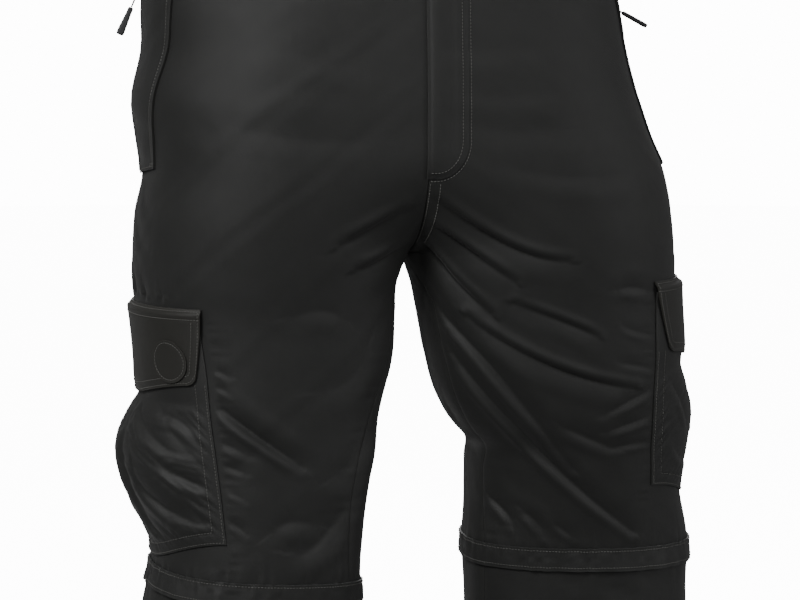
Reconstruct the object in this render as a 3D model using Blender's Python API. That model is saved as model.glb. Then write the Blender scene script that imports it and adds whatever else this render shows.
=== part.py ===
"""Zip-off trousers as worn: thin cloth walls on one garment surface, with pockets, zips and moulded pulls.

Metres, +Z up, front towards -Y, +X is the wearer's left. The origin is the centre of the waistband.
Each leg's surface is a stack of level rings. A ring is four superellipse quarters: inner front, outer front,
inner back and outer back. Above the crotch the inner quarters are cut by the middle plane, which gives the
curved rise seam. A point of cloth is named by its half (front or back), its share of the half's girth
(0 at the middle seam or inseam, 1 at the side seam) and its height.
"""

import math

import bpy
import numpy as np

# Sizes of the garment.
WAIST_TOP = 0.020
WAIST_LOW = -0.020
CROTCH = -0.255
HEM = -1.045
FRONT_CURVE = 0.085
BACK_CURVE = 0.135
ROUNDNESS = 2.2
CLOTH = 0.0012
SEAM = 0.00015
LAID = 0.00045

RIGHT = -1
LEFT = 1
FRONT = -1
BACK = 1
SIDE_WORD = {RIGHT: "right", LEFT: "left"}

# One row per section: height, then distances from the middle plane, then depths along Y.
SECTION_NAMES = ("height", "side", "inner", "crest", "side_y", "inner_y", "front", "back")
SECTIONS = {
    RIGHT: (
        (0.020, 0.192, 0.000, 0.040, 0.000, -0.010, -0.104, 0.106),
        (-0.020, 0.203, 0.000, 0.052, 0.002, -0.012, -0.107, 0.112),
        (-0.055, 0.2078, 0.000, 0.068, 0.004, -0.014, -0.110, 0.120),
        (-0.090, 0.2075, 0.000, 0.080, 0.006, -0.016, -0.113, 0.128),
        (-0.134, 0.2158, 0.000, 0.092, 0.007, -0.018, -0.115, 0.134),
        (-0.160, 0.2127, 0.000, 0.099, 0.008, -0.019, -0.115, 0.135),
        (-0.190, 0.2092, 0.000, 0.104, 0.008, -0.020, -0.115, 0.134),
        (-0.225, 0.2160, 0.000, 0.109, 0.008, -0.020, -0.112, 0.129),
        (-0.255, 0.2185, 0.000, 0.111, 0.008, -0.020, -0.108, 0.122),
        (-0.281, 0.2190, 0.0100, 0.1115, 0.007, -0.024, -0.104, 0.115),
        (-0.300, 0.2165, 0.0113, 0.112, 0.006, -0.028, -0.101, 0.110),
        (-0.340, 0.2130, 0.0146, 0.113, 0.004, -0.034, -0.098, 0.102),
        (-0.380, 0.2125, 0.0269, 0.115, 0.002, -0.044, -0.096, 0.096),
        (-0.420, 0.2100, 0.0340, 0.119, 0.000, -0.056, -0.094, 0.091),
        (-0.460, 0.2080, 0.0405, 0.121, -0.002, -0.056, -0.093, 0.087),
        (-0.511, 0.2075, 0.0434, 0.123, -0.004, -0.048, -0.092, 0.084),
        (-0.548, 0.2150, 0.0435, 0.126, -0.002, -0.038, -0.088, 0.084),
        (-0.600, 0.2130, 0.0470, 0.128, 0.002, -0.028, -0.084, 0.086),
        (-0.720, 0.2120, 0.0540, 0.133, 0.014, -0.008, -0.071, 0.097),
        (-0.880, 0.2100, 0.0730, 0.141, 0.033, 0.018, -0.046, 0.110),
        (-1.045, 0.2100, 0.0900, 0.150, 0.050, 0.042, -0.024, 0.124),
    ),
    LEFT: (
        (0.020, 0.166, 0.000, 0.040, 0.000, -0.010, -0.104, 0.106),
        (-0.020, 0.170, 0.000, 0.050, 0.002, -0.012, -0.107, 0.112),
        (-0.055, 0.1790, 0.000, 0.064, 0.004, -0.014, -0.110, 0.120),
        (-0.090, 0.1846, 0.000, 0.076, 0.006, -0.016, -0.113, 0.128),
        (-0.134, 0.1966, 0.000, 0.088, 0.007, -0.018, -0.115, 0.134),
        (-0.160, 0.2064, 0.000, 0.098, 0.008, -0.019, -0.115, 0.135),
        (-0.190, 0.2196, 0.000, 0.106, 0.008, -0.020, -0.115, 0.134),
        (-0.225, 0.2274, 0.000, 0.114, 0.008, -0.020, -0.112, 0.129),
        (-0.255, 0.2308, 0.000, 0.118, 0.008, -0.020, -0.108, 0.122),
        (-0.281, 0.2321, 0.0085, 0.122, 0.008, -0.022, -0.103, 0.117),
        (-0.300, 0.2333, 0.0122, 0.125, 0.008, -0.023, -0.099, 0.112),
        (-0.340, 0.2370, 0.0200, 0.132, 0.011, -0.022, -0.092, 0.111),
        (-0.380, 0.2394, 0.0326, 0.1385, 0.015, -0.018, -0.083, 0.111),
        (-0.400, 0.2402, 0.0455, 0.142, 0.019, -0.010, -0.078, 0.112),
        (-0.416, 0.2410, 0.0600, 0.146, 0.022, -0.002, -0.073, 0.114),
        (-0.435, 0.2428, 0.0608, 0.150, 0.026, 0.006, -0.068, 0.116),
        (-0.460, 0.2460, 0.0615, 0.153, 0.030, 0.010, -0.062, 0.118),
        (-0.502, 0.2560, 0.0602, 0.158, 0.038, 0.008, -0.052, 0.126),
        (-0.548, 0.2572, 0.0630, 0.162, 0.042, 0.016, -0.047, 0.127),
        (-0.600, 0.2590, 0.0680, 0.166, 0.044, 0.028, -0.044, 0.128),
        (-0.720, 0.2600, 0.1000, 0.179, 0.047, 0.036, -0.036, 0.130),
        (-0.880, 0.2660, 0.1260, 0.196, 0.049, 0.041, -0.028, 0.126),
        (-1.045, 0.2730, 0.1530, 0.213, 0.050, 0.042, -0.024, 0.124),
    ),
}

# Knee zips: height of the band's top edge at mid girth, and how much higher it is at the side seam.
KNEE_TOP = {RIGHT: -0.511, LEFT: -0.502}
KNEE_TILT = {RIGHT: 0.007, LEFT: -0.004}
BAND_HEIGHT = 0.019
ZIP_START = 0.006
ZIP_END = 0.0125
KNEE_SLIDER_HALF = 0.0050
KNEE_SLIDER_GAP = 0.0058
BAND_THICK = 0.0016
BAND_CLOSE = 0.0007
BAND_FLARE = 0.0018

# Below the crotch the inseam turns forward, off the leg's innermost line.
INSEAM_AHEAD = {RIGHT: 0.031, LEFT: 0.028}
INSEAM_TURN = 0.045
ROWS_CROWD = 1.25

# Largest creases: side, then girth ahead of the side seam and height at start, middle and end, half width, depth.
CREASE_NAMES = ("side", "girth_a", "height_a", "girth_b", "height_b", "girth_c", "height_c", "width", "depth")
CREASES = (
    (RIGHT, 0.112, -0.372, 0.138, -0.396, 0.168, -0.419, 0.011, 0.0038),
    (RIGHT, 0.272, -0.219, 0.247, -0.233, 0.222, -0.245, 0.010, 0.0022),
    (RIGHT, 0.280, -0.250, 0.259, -0.259, 0.236, -0.265, 0.010, 0.0022),
    (RIGHT, 0.213, -0.445, 0.179, -0.480, 0.158, -0.490, 0.014, 0.0024),
    (RIGHT, -0.270, -0.276, -0.205, -0.304, -0.110, -0.316, 0.013, 0.0030),
    (RIGHT, -0.235, -0.330, -0.180, -0.366, -0.105, -0.392, 0.014, 0.0026),
    (RIGHT, -0.215, -0.452, -0.165, -0.470, -0.100, -0.462, 0.013, 0.0032),
    (RIGHT, 0.160, -0.905, 0.090, -0.930, 0.015, -0.925, 0.014, 0.0030),
    (RIGHT, -0.020, -0.975, -0.080, -0.990, -0.150, -0.978, 0.014, 0.0028),
    (RIGHT, 0.150, -0.640, 0.095, -0.670, 0.020, -0.690, 0.015, 0.0026),
    (LEFT, 0.295, -0.207, 0.241, -0.245, 0.186, -0.260, 0.011, 0.0028),
    (LEFT, 0.262, -0.305, 0.194, -0.3455, 0.119, -0.366, 0.011, 0.0034),
    (LEFT, 0.298, -0.293, 0.2325, -0.356, 0.169, -0.4325, 0.012, 0.0034),
    (LEFT, 0.277, -0.335, 0.202, -0.413, 0.121, -0.489, 0.012, 0.0038),
    (LEFT, 0.182, -0.395, 0.1595, -0.406, 0.128, -0.418, 0.010, 0.0020),
    (LEFT, -0.275, -0.284, -0.200, -0.318, -0.100, -0.334, 0.013, 0.0032),
    (LEFT, -0.250, -0.352, -0.190, -0.392, -0.110, -0.430, 0.014, 0.0030),
    (LEFT, -0.225, -0.440, -0.160, -0.466, -0.095, -0.480, 0.013, 0.0030),
    (LEFT, 0.170, -0.930, 0.105, -0.948, 0.030, -0.962, 0.014, 0.0032),
    (LEFT, -0.025, -0.900, -0.090, -0.925, -0.160, -0.918, 0.014, 0.0026),
    (LEFT, 0.165, -0.610, 0.110, -0.650, 0.040, -0.660, 0.015, 0.0028),
)

# Cargo pockets and flaps. Girths are measured ahead of the side seam, negative behind it.
POCKET = {
    RIGHT: {"front": 0.1035, "front_top": 0.0980, "back": -0.076, "top": -0.302, "low_front": -0.480,
            "low_back": -0.4985,
            "bulge": 0.0225, "peak": -0.416, "bulge_top": -0.3695, "bulge_low": -0.488},
    LEFT: {"front": 0.0975, "front_top": 0.0965, "back": -0.078, "top": -0.288, "low_front": -0.450,
           "low_back": -0.4665,
           "bulge": 0.0110, "peak": -0.400, "bulge_top": -0.3525, "bulge_low": -0.460},
}
FLAP = {
    RIGHT: {"front_top": 0.1035, "front_low": 0.0925, "back": -0.079, "top": -0.294,
            "low_front": -0.354, "low_side": -0.3665},
    LEFT: {"front_top": 0.1010, "front_low": 0.0840, "back": -0.081, "top": -0.279,
           "low_front": -0.338, "low_side": -0.348},
}
POCKET_STAND = 0.00075
POCKET_MOUTH = 0.0022
FLAP_CORNER = 0.009
FLAP_CLOTH = 0.0016
PATCH_GIRTH = 0.0690
PATCH_HEIGHT = -0.336
PATCH_RADIUS = 0.0172
PATCH_CLOTH = 0.0010

# Hip pockets.
WELT_TOP_GIRTH = 0.060
WELT_BOW = {RIGHT: 0.0075, LEFT: 0.0}
WELT_LOW_GIRTH = 0.042
WELT_BACK_GIRTH = -0.0115
WELT_LOW = -0.186
WELT_SLANT = 0.006
HIP_STAND = 0.0010
HIP_ZIP_NEAR = -0.0205
HIP_ZIP_FAR = -0.0130
HIP_ZIP_THICK = 0.0015
SLIDER_HEIGHT = {RIGHT: -0.0465, LEFT: -0.0562}
SLIDER_GIRTH = -0.01675
SLIDER_LONG = 0.0090
SLIDER_WIDE = 0.0040
SLIDER_TALL = 0.0038
SLIDER_CLEAR = 0.0006
SLIDER_ROOF = 0.0008
SLIDER_CORNER = 0.0014
WINDOW_LONG = 0.0036
WINDOW_TALL = 0.0019
WINDOW_CORNER = 0.0004
CORD_RADIUS = 0.0006
CORD_BEND = 0.0009
PULL_START = 0.0135
PULL_ANGLE = {RIGHT: 24.0, LEFT: 62.0}
PULL_EDGE_ON = {RIGHT: False, LEFT: True}

# Half the cord loop, from the pull up to the window: distance from its middle line, distance below the pivot.
CORD_TRACK = ((0.0010, PULL_START - 0.0003), (0.0017, 0.0095), (0.0029, 0.0055), (0.0029, CORD_BEND))

# Stations along the pull: distance from its top, width, thickness.
PULL_STATIONS = (
    (0.0000, 0.0032, 0.0030),
    (0.0012, 0.0042, 0.0036),
    (0.0060, 0.0044, 0.0036),
    (0.0140, 0.0054, 0.0036),
    (0.0205, 0.0062, 0.0037),
    (0.0228, 0.0061, 0.0036),
    (0.0238, 0.0050, 0.0030),
    (0.0241, 0.0030, 0.0018),
)

# Fly.
FLY_OVER = 0.0020
FLY_WIDE = 0.0310
FLY_LOW = -0.1925
FLY_ROUND = 0.030
FLY_ZIP_HALF = 0.012
FLY_ZIP_LOW = -0.165
FLY_ZIP_THICK = 0.0012

# Waistband and its button. The left end is lapped over the right one and stands off by the lift.
WAIST_THICK = 0.0022
LAP_OVER = 0.024
LAP_UNDER = 0.020
LAP_LIFT = 0.0028
LAP_FADE = (0.030, 0.075)
BUTTON_SIDEWAYS = -0.002
BUTTON_GAP = 0.0037

# Stations through the button: depth from its back face, radius.
BUTTON_STATIONS = ((0.0, 0.0070), (0.0006, 0.0080), (0.0022, 0.0080), (0.0028, 0.0072))


def smooth_step(value, low, high):
    t = np.clip((value - low) / (high - low), 0, 1)
    return t * t * (3 - 2 * t)


def section(side, name, height):
    """Column of the section table at any height, by cubic pieces with central slopes."""
    rows = sorted(SECTIONS[side])
    heights = np.array([row[0] for row in rows])
    values = np.array([row[SECTION_NAMES.index(name)] for row in rows])
    slopes = np.gradient(values, heights)
    height = np.clip(height, heights[0], heights[-1])
    k = np.clip(np.searchsorted(heights, height) - 1, 0, len(rows) - 2)
    span = heights[k + 1] - heights[k]
    t = (height - heights[k]) / span
    low = values[k] * (1 + 2 * t) * (1 - t) ** 2 + slopes[k] * span * t * (1 - t) ** 2
    high = values[k + 1] * t ** 2 * (3 - 2 * t) - slopes[k + 1] * span * t ** 2 * (1 - t)
    return low + high


def ring_values(side, half, height):
    """Numbers that shape the half ring at each height."""
    depth = section(side, "front" if half == FRONT else "back", height)
    curve = FRONT_CURVE if half == FRONT else BACK_CURVE
    climb = np.clip((height - CROTCH) / curve, 0, 1)
    reach = 0.999 * np.sqrt(1 - (1 - climb) ** 2)
    inner = np.where(height >= CROTCH, 0.0, np.maximum(section(side, "inner", height), 0.0004))
    return {
        "start": np.arcsin(reach ** (ROUNDNESS / 2)),
        "inner": inner,
        "crest": section(side, "crest", height),
        "side": section(side, "side", height),
        "inner_y": section(side, "inner_y", height),
        "side_y": section(side, "side_y", height),
        "depth": depth,
    }


def on_ring(ring, step):
    """Level point of a half ring: step 0 is its middle seam, 1 its crest, 2 its side seam."""
    power = 2 / ROUNDNESS
    start = ring["start"]
    inner_angle = start + (math.pi / 2 - start) * np.clip(step, 0, 1)
    outer_angle = math.pi / 2 * np.clip(2 - step, 0, 1)
    on_inner = step < 1
    shrink = np.clip(np.cos(inner_angle), 0, 1) / np.cos(start)
    x_inner = ring["crest"] - (ring["crest"] - ring["inner"]) * shrink ** power
    y_inner = ring["inner_y"] + (ring["depth"] - ring["inner_y"]) * np.sin(inner_angle) ** power
    x_outer = ring["crest"] + (ring["side"] - ring["crest"]) * np.clip(np.cos(outer_angle), 0, 1) ** power
    y_outer = ring["side_y"] + (ring["depth"] - ring["side_y"]) * np.sin(outer_angle) ** power
    return np.where(on_inner, x_inner, x_outer), np.where(on_inner, y_inner, y_outer)


def girth_table(side, half, height):
    """Steps round the half ring at each height, with the length of cloth up to each step."""
    ring = {name: value[:, None] for name, value in ring_values(side, half, height).items()}
    steps = np.linspace(0, 2, 97)[None, :]
    x, y = on_ring(ring, steps)
    run = np.hypot(np.diff(x, axis=1), np.diff(y, axis=1))
    along = np.concatenate([np.zeros((len(height), 1)), np.cumsum(run, axis=1)], axis=1)
    return steps[0], along


def half_girth(side, half, height):
    """Length of cloth from the middle seam or inseam to the side seam."""
    flat = np.asarray(height, dtype=float).ravel()
    return girth_table(side, half, flat)[1][:, -1].reshape(np.shape(height))


def skin(side, half, share, height):
    """Point of the smooth garment surface."""
    share, height = np.broadcast_arrays(np.asarray(share, dtype=float), np.asarray(height, dtype=float))
    shape = share.shape
    share, height = share.ravel(), height.ravel()
    steps, along = girth_table(side, half, height)
    target = np.clip(share, 0, 1) * along[:, -1]
    k = np.clip((along <= target[:, None]).sum(axis=1) - 1, 0, along.shape[1] - 2)
    rows = np.arange(len(k))
    part = (target - along[rows, k]) / (along[rows, k + 1] - along[rows, k])
    step = steps[k] + part * (steps[1] - steps[0])
    x, y = on_ring(ring_values(side, half, height), step)
    x = side * np.maximum(x, SEAM)
    return np.stack([x, y, height], axis=-1).reshape(shape + (3,))


def outward(side, half, share, height):
    """Unit normal of the smooth surface, from small steps round and up."""
    share = np.clip(share, 0, 1)
    near = np.clip(share - 0.004, 0, 1)
    far = np.clip(share + 0.004, 0, 1)
    across = skin(side, half, far, height) - skin(side, half, near, height)
    up = skin(side, half, share, height + 0.0015) - skin(side, half, share, height - 0.0015)
    normal = np.cross(across, up) * (-side * half)
    return normal / np.linalg.norm(normal, axis=-1, keepdims=True)


def crease_depth(side, girth, height):
    """How far the largest creases push the cloth out (positive) or in (negative)."""
    total = np.zeros(np.broadcast(girth, height).shape)
    for row in CREASES:
        crease = dict(zip(CREASE_NAMES, row))
        if crease["side"] != side:
            continue
        t = np.linspace(0, 1, 13)
        line = []
        for word in ("girth", "height"):
            a, b, c = crease[word + "_a"], crease[word + "_b"], crease[word + "_c"]
            line.append(a * (1 - t) * (1 - 2 * t) + 4 * b * t * (1 - t) + c * t * (2 * t - 1))
        best = np.full(total.shape, 1e9)
        where = np.zeros(total.shape)
        for k in range(12):
            du, dv = line[0][k + 1] - line[0][k], line[1][k + 1] - line[1][k]
            part = np.clip(((girth - line[0][k]) * du + (height - line[1][k]) * dv) / (du * du + dv * dv), 0, 1)
            away = np.hypot(girth - line[0][k] - part * du, height - line[1][k] - part * dv)
            closer = away < best
            best = np.where(closer, away, best)
            where = np.where(closer, (k + part) / 12, where)
        fade = np.sin(math.pi * np.clip(where, 0.06, 0.94)) ** 0.7
        r = best / crease["width"]
        total += crease["depth"] * fade * (0.75 * np.exp(-((r - 1.5) ** 2)) - np.exp(-(r ** 2)))
    return total


def inseam_shift(side, height):
    """How far the inseam lies ahead of the leg's innermost line."""
    return INSEAM_AHEAD[side] * smooth_step(-height, -CROTCH, -CROTCH + INSEAM_TURN)


def cloth(side, half, share, height, lift):
    """Point of the cloth's outer face, moved out by lift."""
    length = half_girth(side, half, height)
    from_seam = np.abs(share * length + half * inseam_shift(side, height))
    girth = -half * (1 - share) * length
    push = crease_depth(side, girth, height) * smooth_step(from_seam, 0.0, 0.014)
    size = POCKET[side]
    beside = np.maximum(np.maximum(girth - size["front"], size["back"] - girth), 0)
    above = np.maximum(np.maximum(height - FLAP[side]["top"], size["low_back"] - height), 0)
    push = push * smooth_step(np.hypot(beside, above), 0.003, 0.014)
    point = skin(side, half, share, height) + outward(side, half, share, height) * (push + lift)[..., None]
    point[..., 0] = side * np.maximum(side * point[..., 0], SEAM)
    return point


def panel_grid(side, half, line, height, lift):
    """Points of a leg panel. Line 0 is the inseam, where the back panel reaches round onto the front half."""
    length = half_girth(side, half, height)
    start = -half * inseam_shift(side, height)
    away = start + SEAM + line * (length - start - 2 * SEAM)
    own = cloth(side, half, np.clip(away / length, 0, 1), height, lift)
    across = cloth(side, -half, np.clip(-away / half_girth(side, -half, height), 0, 1), height, lift)
    return np.where((away >= 0)[..., None], own, across)


def laid_on(side, girth, height, lift):
    """Point above the cloth at a girth ahead of the side seam (negative behind it)."""
    girth, height, lift = np.broadcast_arrays(girth, height, lift)
    ahead = cloth(side, FRONT, np.clip(1 - girth / half_girth(side, FRONT, height), 0, 1), height, lift)
    behind = cloth(side, BACK, np.clip(1 + girth / half_girth(side, BACK, height), 0, 1), height, lift)
    return np.where((girth >= 0)[..., None], ahead, behind)


def by_middle(offset, height, lift):
    """Point above the front at a distance from the middle seam, positive on the wearer's left."""
    offset, height, lift = np.broadcast_arrays(offset, height, lift)
    points = {}
    for side in (RIGHT, LEFT):
        share = np.clip(side * offset / half_girth(side, FRONT, height), 0, 1)
        points[side] = cloth(side, FRONT, share, height, lift)
        points[side][..., 0] = np.where(np.abs(offset) < 2e-4, 0, points[side][..., 0])
    return np.where((offset >= 0)[..., None], points[LEFT], points[RIGHT])


def knee_height(side, share, drop):
    """Height of a line that runs level with the knee band, drop below its top edge."""
    return KNEE_TOP[side] + KNEE_TILT[side] * (2 * share - 1) - drop


def material(name, colour, roughness, metallic=0.0):
    made = bpy.data.materials.get(name) or bpy.data.materials.new(name)
    made.use_nodes = True
    shader = made.node_tree.nodes["Principled BSDF"]
    shader.inputs["Base Color"].default_value = (*colour, 1)
    shader.inputs["Roughness"].default_value = roughness
    shader.inputs["Metallic"].default_value = metallic
    return made


LEG_CLOTH = ("leg_cloth", (0.020, 0.0205, 0.0195), 0.72)
FLAP_CLOTH_LOOK = ("flap_cloth", (0.024, 0.0235, 0.0205), 0.74)
ZIP_TAPE = ("zip_tape", (0.012, 0.012, 0.012), 0.60)
PULL_RUBBER = ("pull_rubber", (0.045, 0.045, 0.047), 0.55)
PULL_CORD = ("pull_cord", (0.016, 0.016, 0.016), 0.80)
DARK_METAL = ("dark_metal", (0.035, 0.035, 0.037), 0.38, 0.9)
BUTTON_PLASTIC = ("button_plastic", (0.018, 0.018, 0.018), 0.35)


def add_empty(name, place, parent=None):
    made = bpy.data.objects.new(name, None)
    made.location = place
    made.parent = parent
    bpy.context.scene.collection.objects.link(made)
    return made


def add_mesh(name, points, faces, look, parent=None):
    """One closed mesh object with its origin at its parent's, turned so that its faces point outward."""
    parent = parent or bpy.data.objects["trousers"]
    points = np.asarray(points, dtype=float).reshape(-1, 3) - np.array(parent.location)
    volume = 0.0
    for face in faces:
        for k in range(1, len(face) - 1):
            a, b, c = points[face[0]], points[face[k]], points[face[k + 1]]
            volume += float(np.dot(a, np.cross(b, c)))
    if volume < 0:
        faces = [tuple(reversed(face)) for face in faces]
    mesh = bpy.data.meshes.new(name)
    mesh.from_pydata(points.tolist(), [], faces)
    mesh.update()
    mesh.shade_smooth()
    mesh.set_sharp_from_angle(angle=math.radians(40))
    made = bpy.data.objects.new(name, mesh)
    made.data.materials.append(material(*look))
    made.parent = parent
    bpy.context.scene.collection.objects.link(made)
    return made


def wall(name, outer, inner, look, round_trip=False):
    """Closed wall between two grids of points. With round_trip the last column joins the first."""
    rows, columns = outer.shape[:2]
    count = rows * columns
    faces = []
    spans = columns if round_trip else columns - 1
    for r in range(rows - 1):
        for c in range(spans):
            d = (c + 1) % columns
            a, b = r * columns + c, r * columns + d
            e, f = (r + 1) * columns + d, (r + 1) * columns + c
            faces.append((a, b, e, f))
            faces.append((count + f, count + e, count + b, count + a))
    for r in (0, rows - 1):
        for c in range(spans):
            a, b = r * columns + c, r * columns + (c + 1) % columns
            rim = (count + a, count + b, b, a)
            faces.append(rim if r == 0 else tuple(reversed(rim)))
    if not round_trip:
        for c in (0, columns - 1):
            for r in range(rows - 1):
                a, b = r * columns + c, (r + 1) * columns + c
                rim = (a, b, count + b, count + a)
                faces.append(rim if c == 0 else tuple(reversed(rim)))
    points = np.concatenate([outer.reshape(-1, 3), inner.reshape(-1, 3)])
    return add_mesh(name, points, faces, look)


def tube(name, path, radius, sides, look, parent):
    """Closed round rod along a path that stays in planes through the Y axis."""
    path = np.asarray(path, dtype=float)
    run = np.gradient(path, axis=0)
    run /= np.linalg.norm(run, axis=1, keepdims=True)
    plane = np.cross(path[0] - path[len(path) // 2], path[-1] - path[len(path) // 2])
    plane /= np.linalg.norm(plane)
    across = np.cross(run, plane)
    across /= np.linalg.norm(across, axis=1, keepdims=True)
    angle = np.arange(sides) * 2 * math.pi / sides + math.pi / sides
    rings = path[:, None, :] + radius * (
        np.cos(angle)[None, :, None] * across[:, None, :] + np.sin(angle)[None, :, None] * plane[None, None, :]
    )
    return loft(name, rings, look, parent)


def loft(name, rings, look, parent=None):
    """Closed body through rings of points, with flat ends."""
    count, sides = rings.shape[:2]
    faces = []
    for r in range(count - 1):
        for c in range(sides):
            d = (c + 1) % sides
            faces.append((r * sides + c, r * sides + d, (r + 1) * sides + d, (r + 1) * sides + c))
    faces.append(tuple(reversed(range(sides))))
    faces.append(tuple((count - 1) * sides + c for c in range(sides)))
    return add_mesh(name, rings, faces, look, parent)


def share_at_knee(side, half, line):
    """Share of the half ring's girth where a panel's column meets the knee zip."""
    knee = np.array([KNEE_TOP[side]])
    length = half_girth(side, half, knee)
    start = -half * inseam_shift(side, knee)
    away = start + line * (length - start)
    return np.where(away >= 0, away / length, -away / half_girth(side, -half, knee))


def half_panel(side, half, name, columns, upper_rows, lower_rows):
    """Upper leg panel, from the waistband down to the knee zip."""
    line = np.linspace(0, 1, columns)[None, :]
    climb = np.linspace(1, 0, upper_rows)[:, None]
    rise = WAIST_LOW - 2 * SEAM - CROTCH
    weight = (1 - line) ** 1.5
    upper = CROTCH + rise * ((1 - weight) * climb + weight * climb ** 2)
    fall = np.linspace(0, 1, lower_rows + 1)[1:, None] ** ROWS_CROWD
    lower = CROTCH + (knee_height(side, share_at_knee(side, half, line), ZIP_START) - CROTCH) * fall
    height = np.concatenate([upper, lower], axis=0)
    outer = panel_grid(side, half, line, height, np.zeros(height.shape))
    inner = panel_grid(side, half, line, height, np.full(height.shape, -CLOTH))
    return wall(name, outer, inner, LEG_CLOTH)


def lower_panel(side, half, name, columns, rows):
    """Zip-off lower leg panel, from the knee zip to the hem."""
    line = np.linspace(0, 1, columns)[None, :]
    fall = np.linspace(0, 1, rows)[:, None]
    top = knee_height(side, share_at_knee(side, half, line), ZIP_END + 2 * SEAM)
    height = top + (HEM - top) * fall
    outer = panel_grid(side, half, line, height, np.zeros(height.shape))
    inner = panel_grid(side, half, line, height, np.full(height.shape, -CLOTH))
    return wall(name, outer, inner, LEG_CLOTH)


def around(count):
    """Shares and halves for one trip round a leg, starting at the inseam and going over the front."""
    share = np.concatenate([np.linspace(0, 1, count + 1), np.linspace(1, 0, count + 1)[1:-1]])
    front = np.arange(2 * count) <= count
    return share, front


def leg_ring(side, share, front, height, lift):
    ahead = cloth(side, FRONT, share, height, lift)
    behind = cloth(side, BACK, share, height, lift)
    return np.where(front[..., None], ahead, behind)


def knee_zip(side):
    """Zip round the leg, open at the side seam where its slider sits."""
    count = 22
    drops = np.array([ZIP_START + 2 * SEAM, ZIP_END])[:, None]
    length = half_girth(side, FRONT, knee_height(side, 1.0, drops.mean() * np.ones(1)))[0]
    end = [1 - KNEE_SLIDER_GAP / length]
    cut = np.concatenate([end, np.linspace(1, 0, count + 1)[1:], np.linspace(0, 1, count + 1)[1:-1], end])
    front = np.arange(2 * count + 1) < count + 1
    height = knee_height(side, cut[None, :], drops)
    share = np.repeat(cut[None, :], 2, axis=0)
    front = np.repeat(front[None, :], 2, axis=0)
    outer = leg_ring(side, share, front, height, np.full(share.shape, 0.0001))
    inner = leg_ring(side, share, front, height, np.full(share.shape, -0.0013))
    wall("knee_zip_" + SIDE_WORD[side], outer, inner, ZIP_TAPE)
    girths = np.array([-KNEE_SLIDER_HALF, 0.0, KNEE_SLIDER_HALF])[None, :]
    rise = knee_height(side, 1.0, drops)
    outer = laid_on(side, girths, rise, 0.0002)
    inner = laid_on(side, girths, rise, -0.0017)
    wall("knee_slider_" + SIDE_WORD[side], outer, inner, DARK_METAL)


def knee_band(side):
    """Folded strip over the knee zip: close at its top, standing off at its lower edge."""
    count = 30
    share, front = around(count)
    drop = np.array([0.0, 0.5, 1.0])[:, None] * BAND_HEIGHT
    share = np.repeat(share[None, :], 3, axis=0)
    front = np.repeat(front[None, :], 3, axis=0)
    height = knee_height(side, share, drop)
    stand = BAND_CLOSE + BAND_FLARE * smooth_step(drop, 0.0, BAND_HEIGHT) * (0.6 + 0.4 * np.cos(7 * share + 2))
    outer = leg_ring(side, share, front, height, stand + BAND_THICK)
    inner = leg_ring(side, share, front, height, stand)
    wall("knee_band_" + SIDE_WORD[side], outer, inner, LEG_CLOTH, round_trip=True)


def pocket_front(side, height):
    """Girth of the pocket's front edge, which leans back towards its top."""
    size = POCKET[side]
    drop = np.clip((size["top"] - height) / (size["top"] - size["low_front"]), 0, 1)
    return size["front_top"] + (size["front"] - size["front_top"]) * drop


def pocket_lift(side, girth, height):
    """How far the cargo pocket's cloth stands off the leg."""
    size = POCKET[side]
    across = np.clip((girth - size["back"]) / (pocket_front(side, height) - size["back"]), 0, 1)
    swell = np.sin(math.pi * across ** 0.72) ** 1.1
    below = np.clip((height - size["bulge_low"]) / (size["peak"] - size["bulge_low"]), 0, 1)
    above = np.clip((size["bulge_top"] - height) / (size["bulge_top"] - size["peak"]), 0, 1)
    hump = np.sin(math.pi / 2 * below) ** 1.2 * np.sin(math.pi / 2 * above) ** 1.1
    mouth = POCKET_MOUTH * smooth_step(height, size["bulge_top"] - 0.004, size["bulge_top"] + 0.02)
    return POCKET_STAND + size["bulge"] * swell * hump + mouth * np.sin(math.pi * across) ** 0.5


def cargo_pocket(side):
    """Cargo pocket: a bag of cloth, open at its top under the flap."""
    size = POCKET[side]
    across = np.linspace(0, 1, 16)[None, :]
    girth = size["back"] + (size["front"] - size["back"]) * across
    low = size["low_back"] + (size["low_front"] - size["low_back"]) * smooth_step(girth, 0.01, size["front"])
    pinch = size["bulge_top"]
    bag = low + (pinch - low) * np.linspace(0, 1, 11)[:, None]
    mouth = pinch + (size["top"] - pinch) * np.linspace(0, 1, 6)[1:, None] + np.zeros(low.shape)
    height = np.concatenate([bag, mouth], axis=0)
    girth = size["back"] + (pocket_front(side, height) - size["back"]) * across
    lift = pocket_lift(side, girth, height)
    outer = laid_on(side, girth, height, lift + CLOTH)
    inner = laid_on(side, girth, height, lift)
    wall("cargo_pocket_" + SIDE_WORD[side], outer, inner, LEG_CLOTH)


def flap_low(side, girth):
    """Lower edge of the flap, with rounded corners."""
    size = FLAP[side]
    low = size["low_side"] + (size["low_front"] - size["low_side"]) * smooth_step(girth, 0.0, size["front_low"])
    for edge, sign in ((size["front_low"], 1), (size["back"], -1)):
        past = np.clip((FLAP_CORNER - sign * (edge - girth)) / FLAP_CORNER, 0, 1)
        low = low + FLAP_CORNER * (1 - np.sqrt(1 - past ** 2))
    return low


def flap_lift(side, girth, height):
    """Inner face of the flap: just above the pocket's cloth, and down on the leg at its top edge."""
    size = POCKET[side]
    over = pocket_lift(side, girth, height) + CLOTH + 0.0008
    return LAID + (over - LAID) * smooth_step(-height, -size["top"] - 0.0080, -size["top"] - 0.0036)


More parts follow.
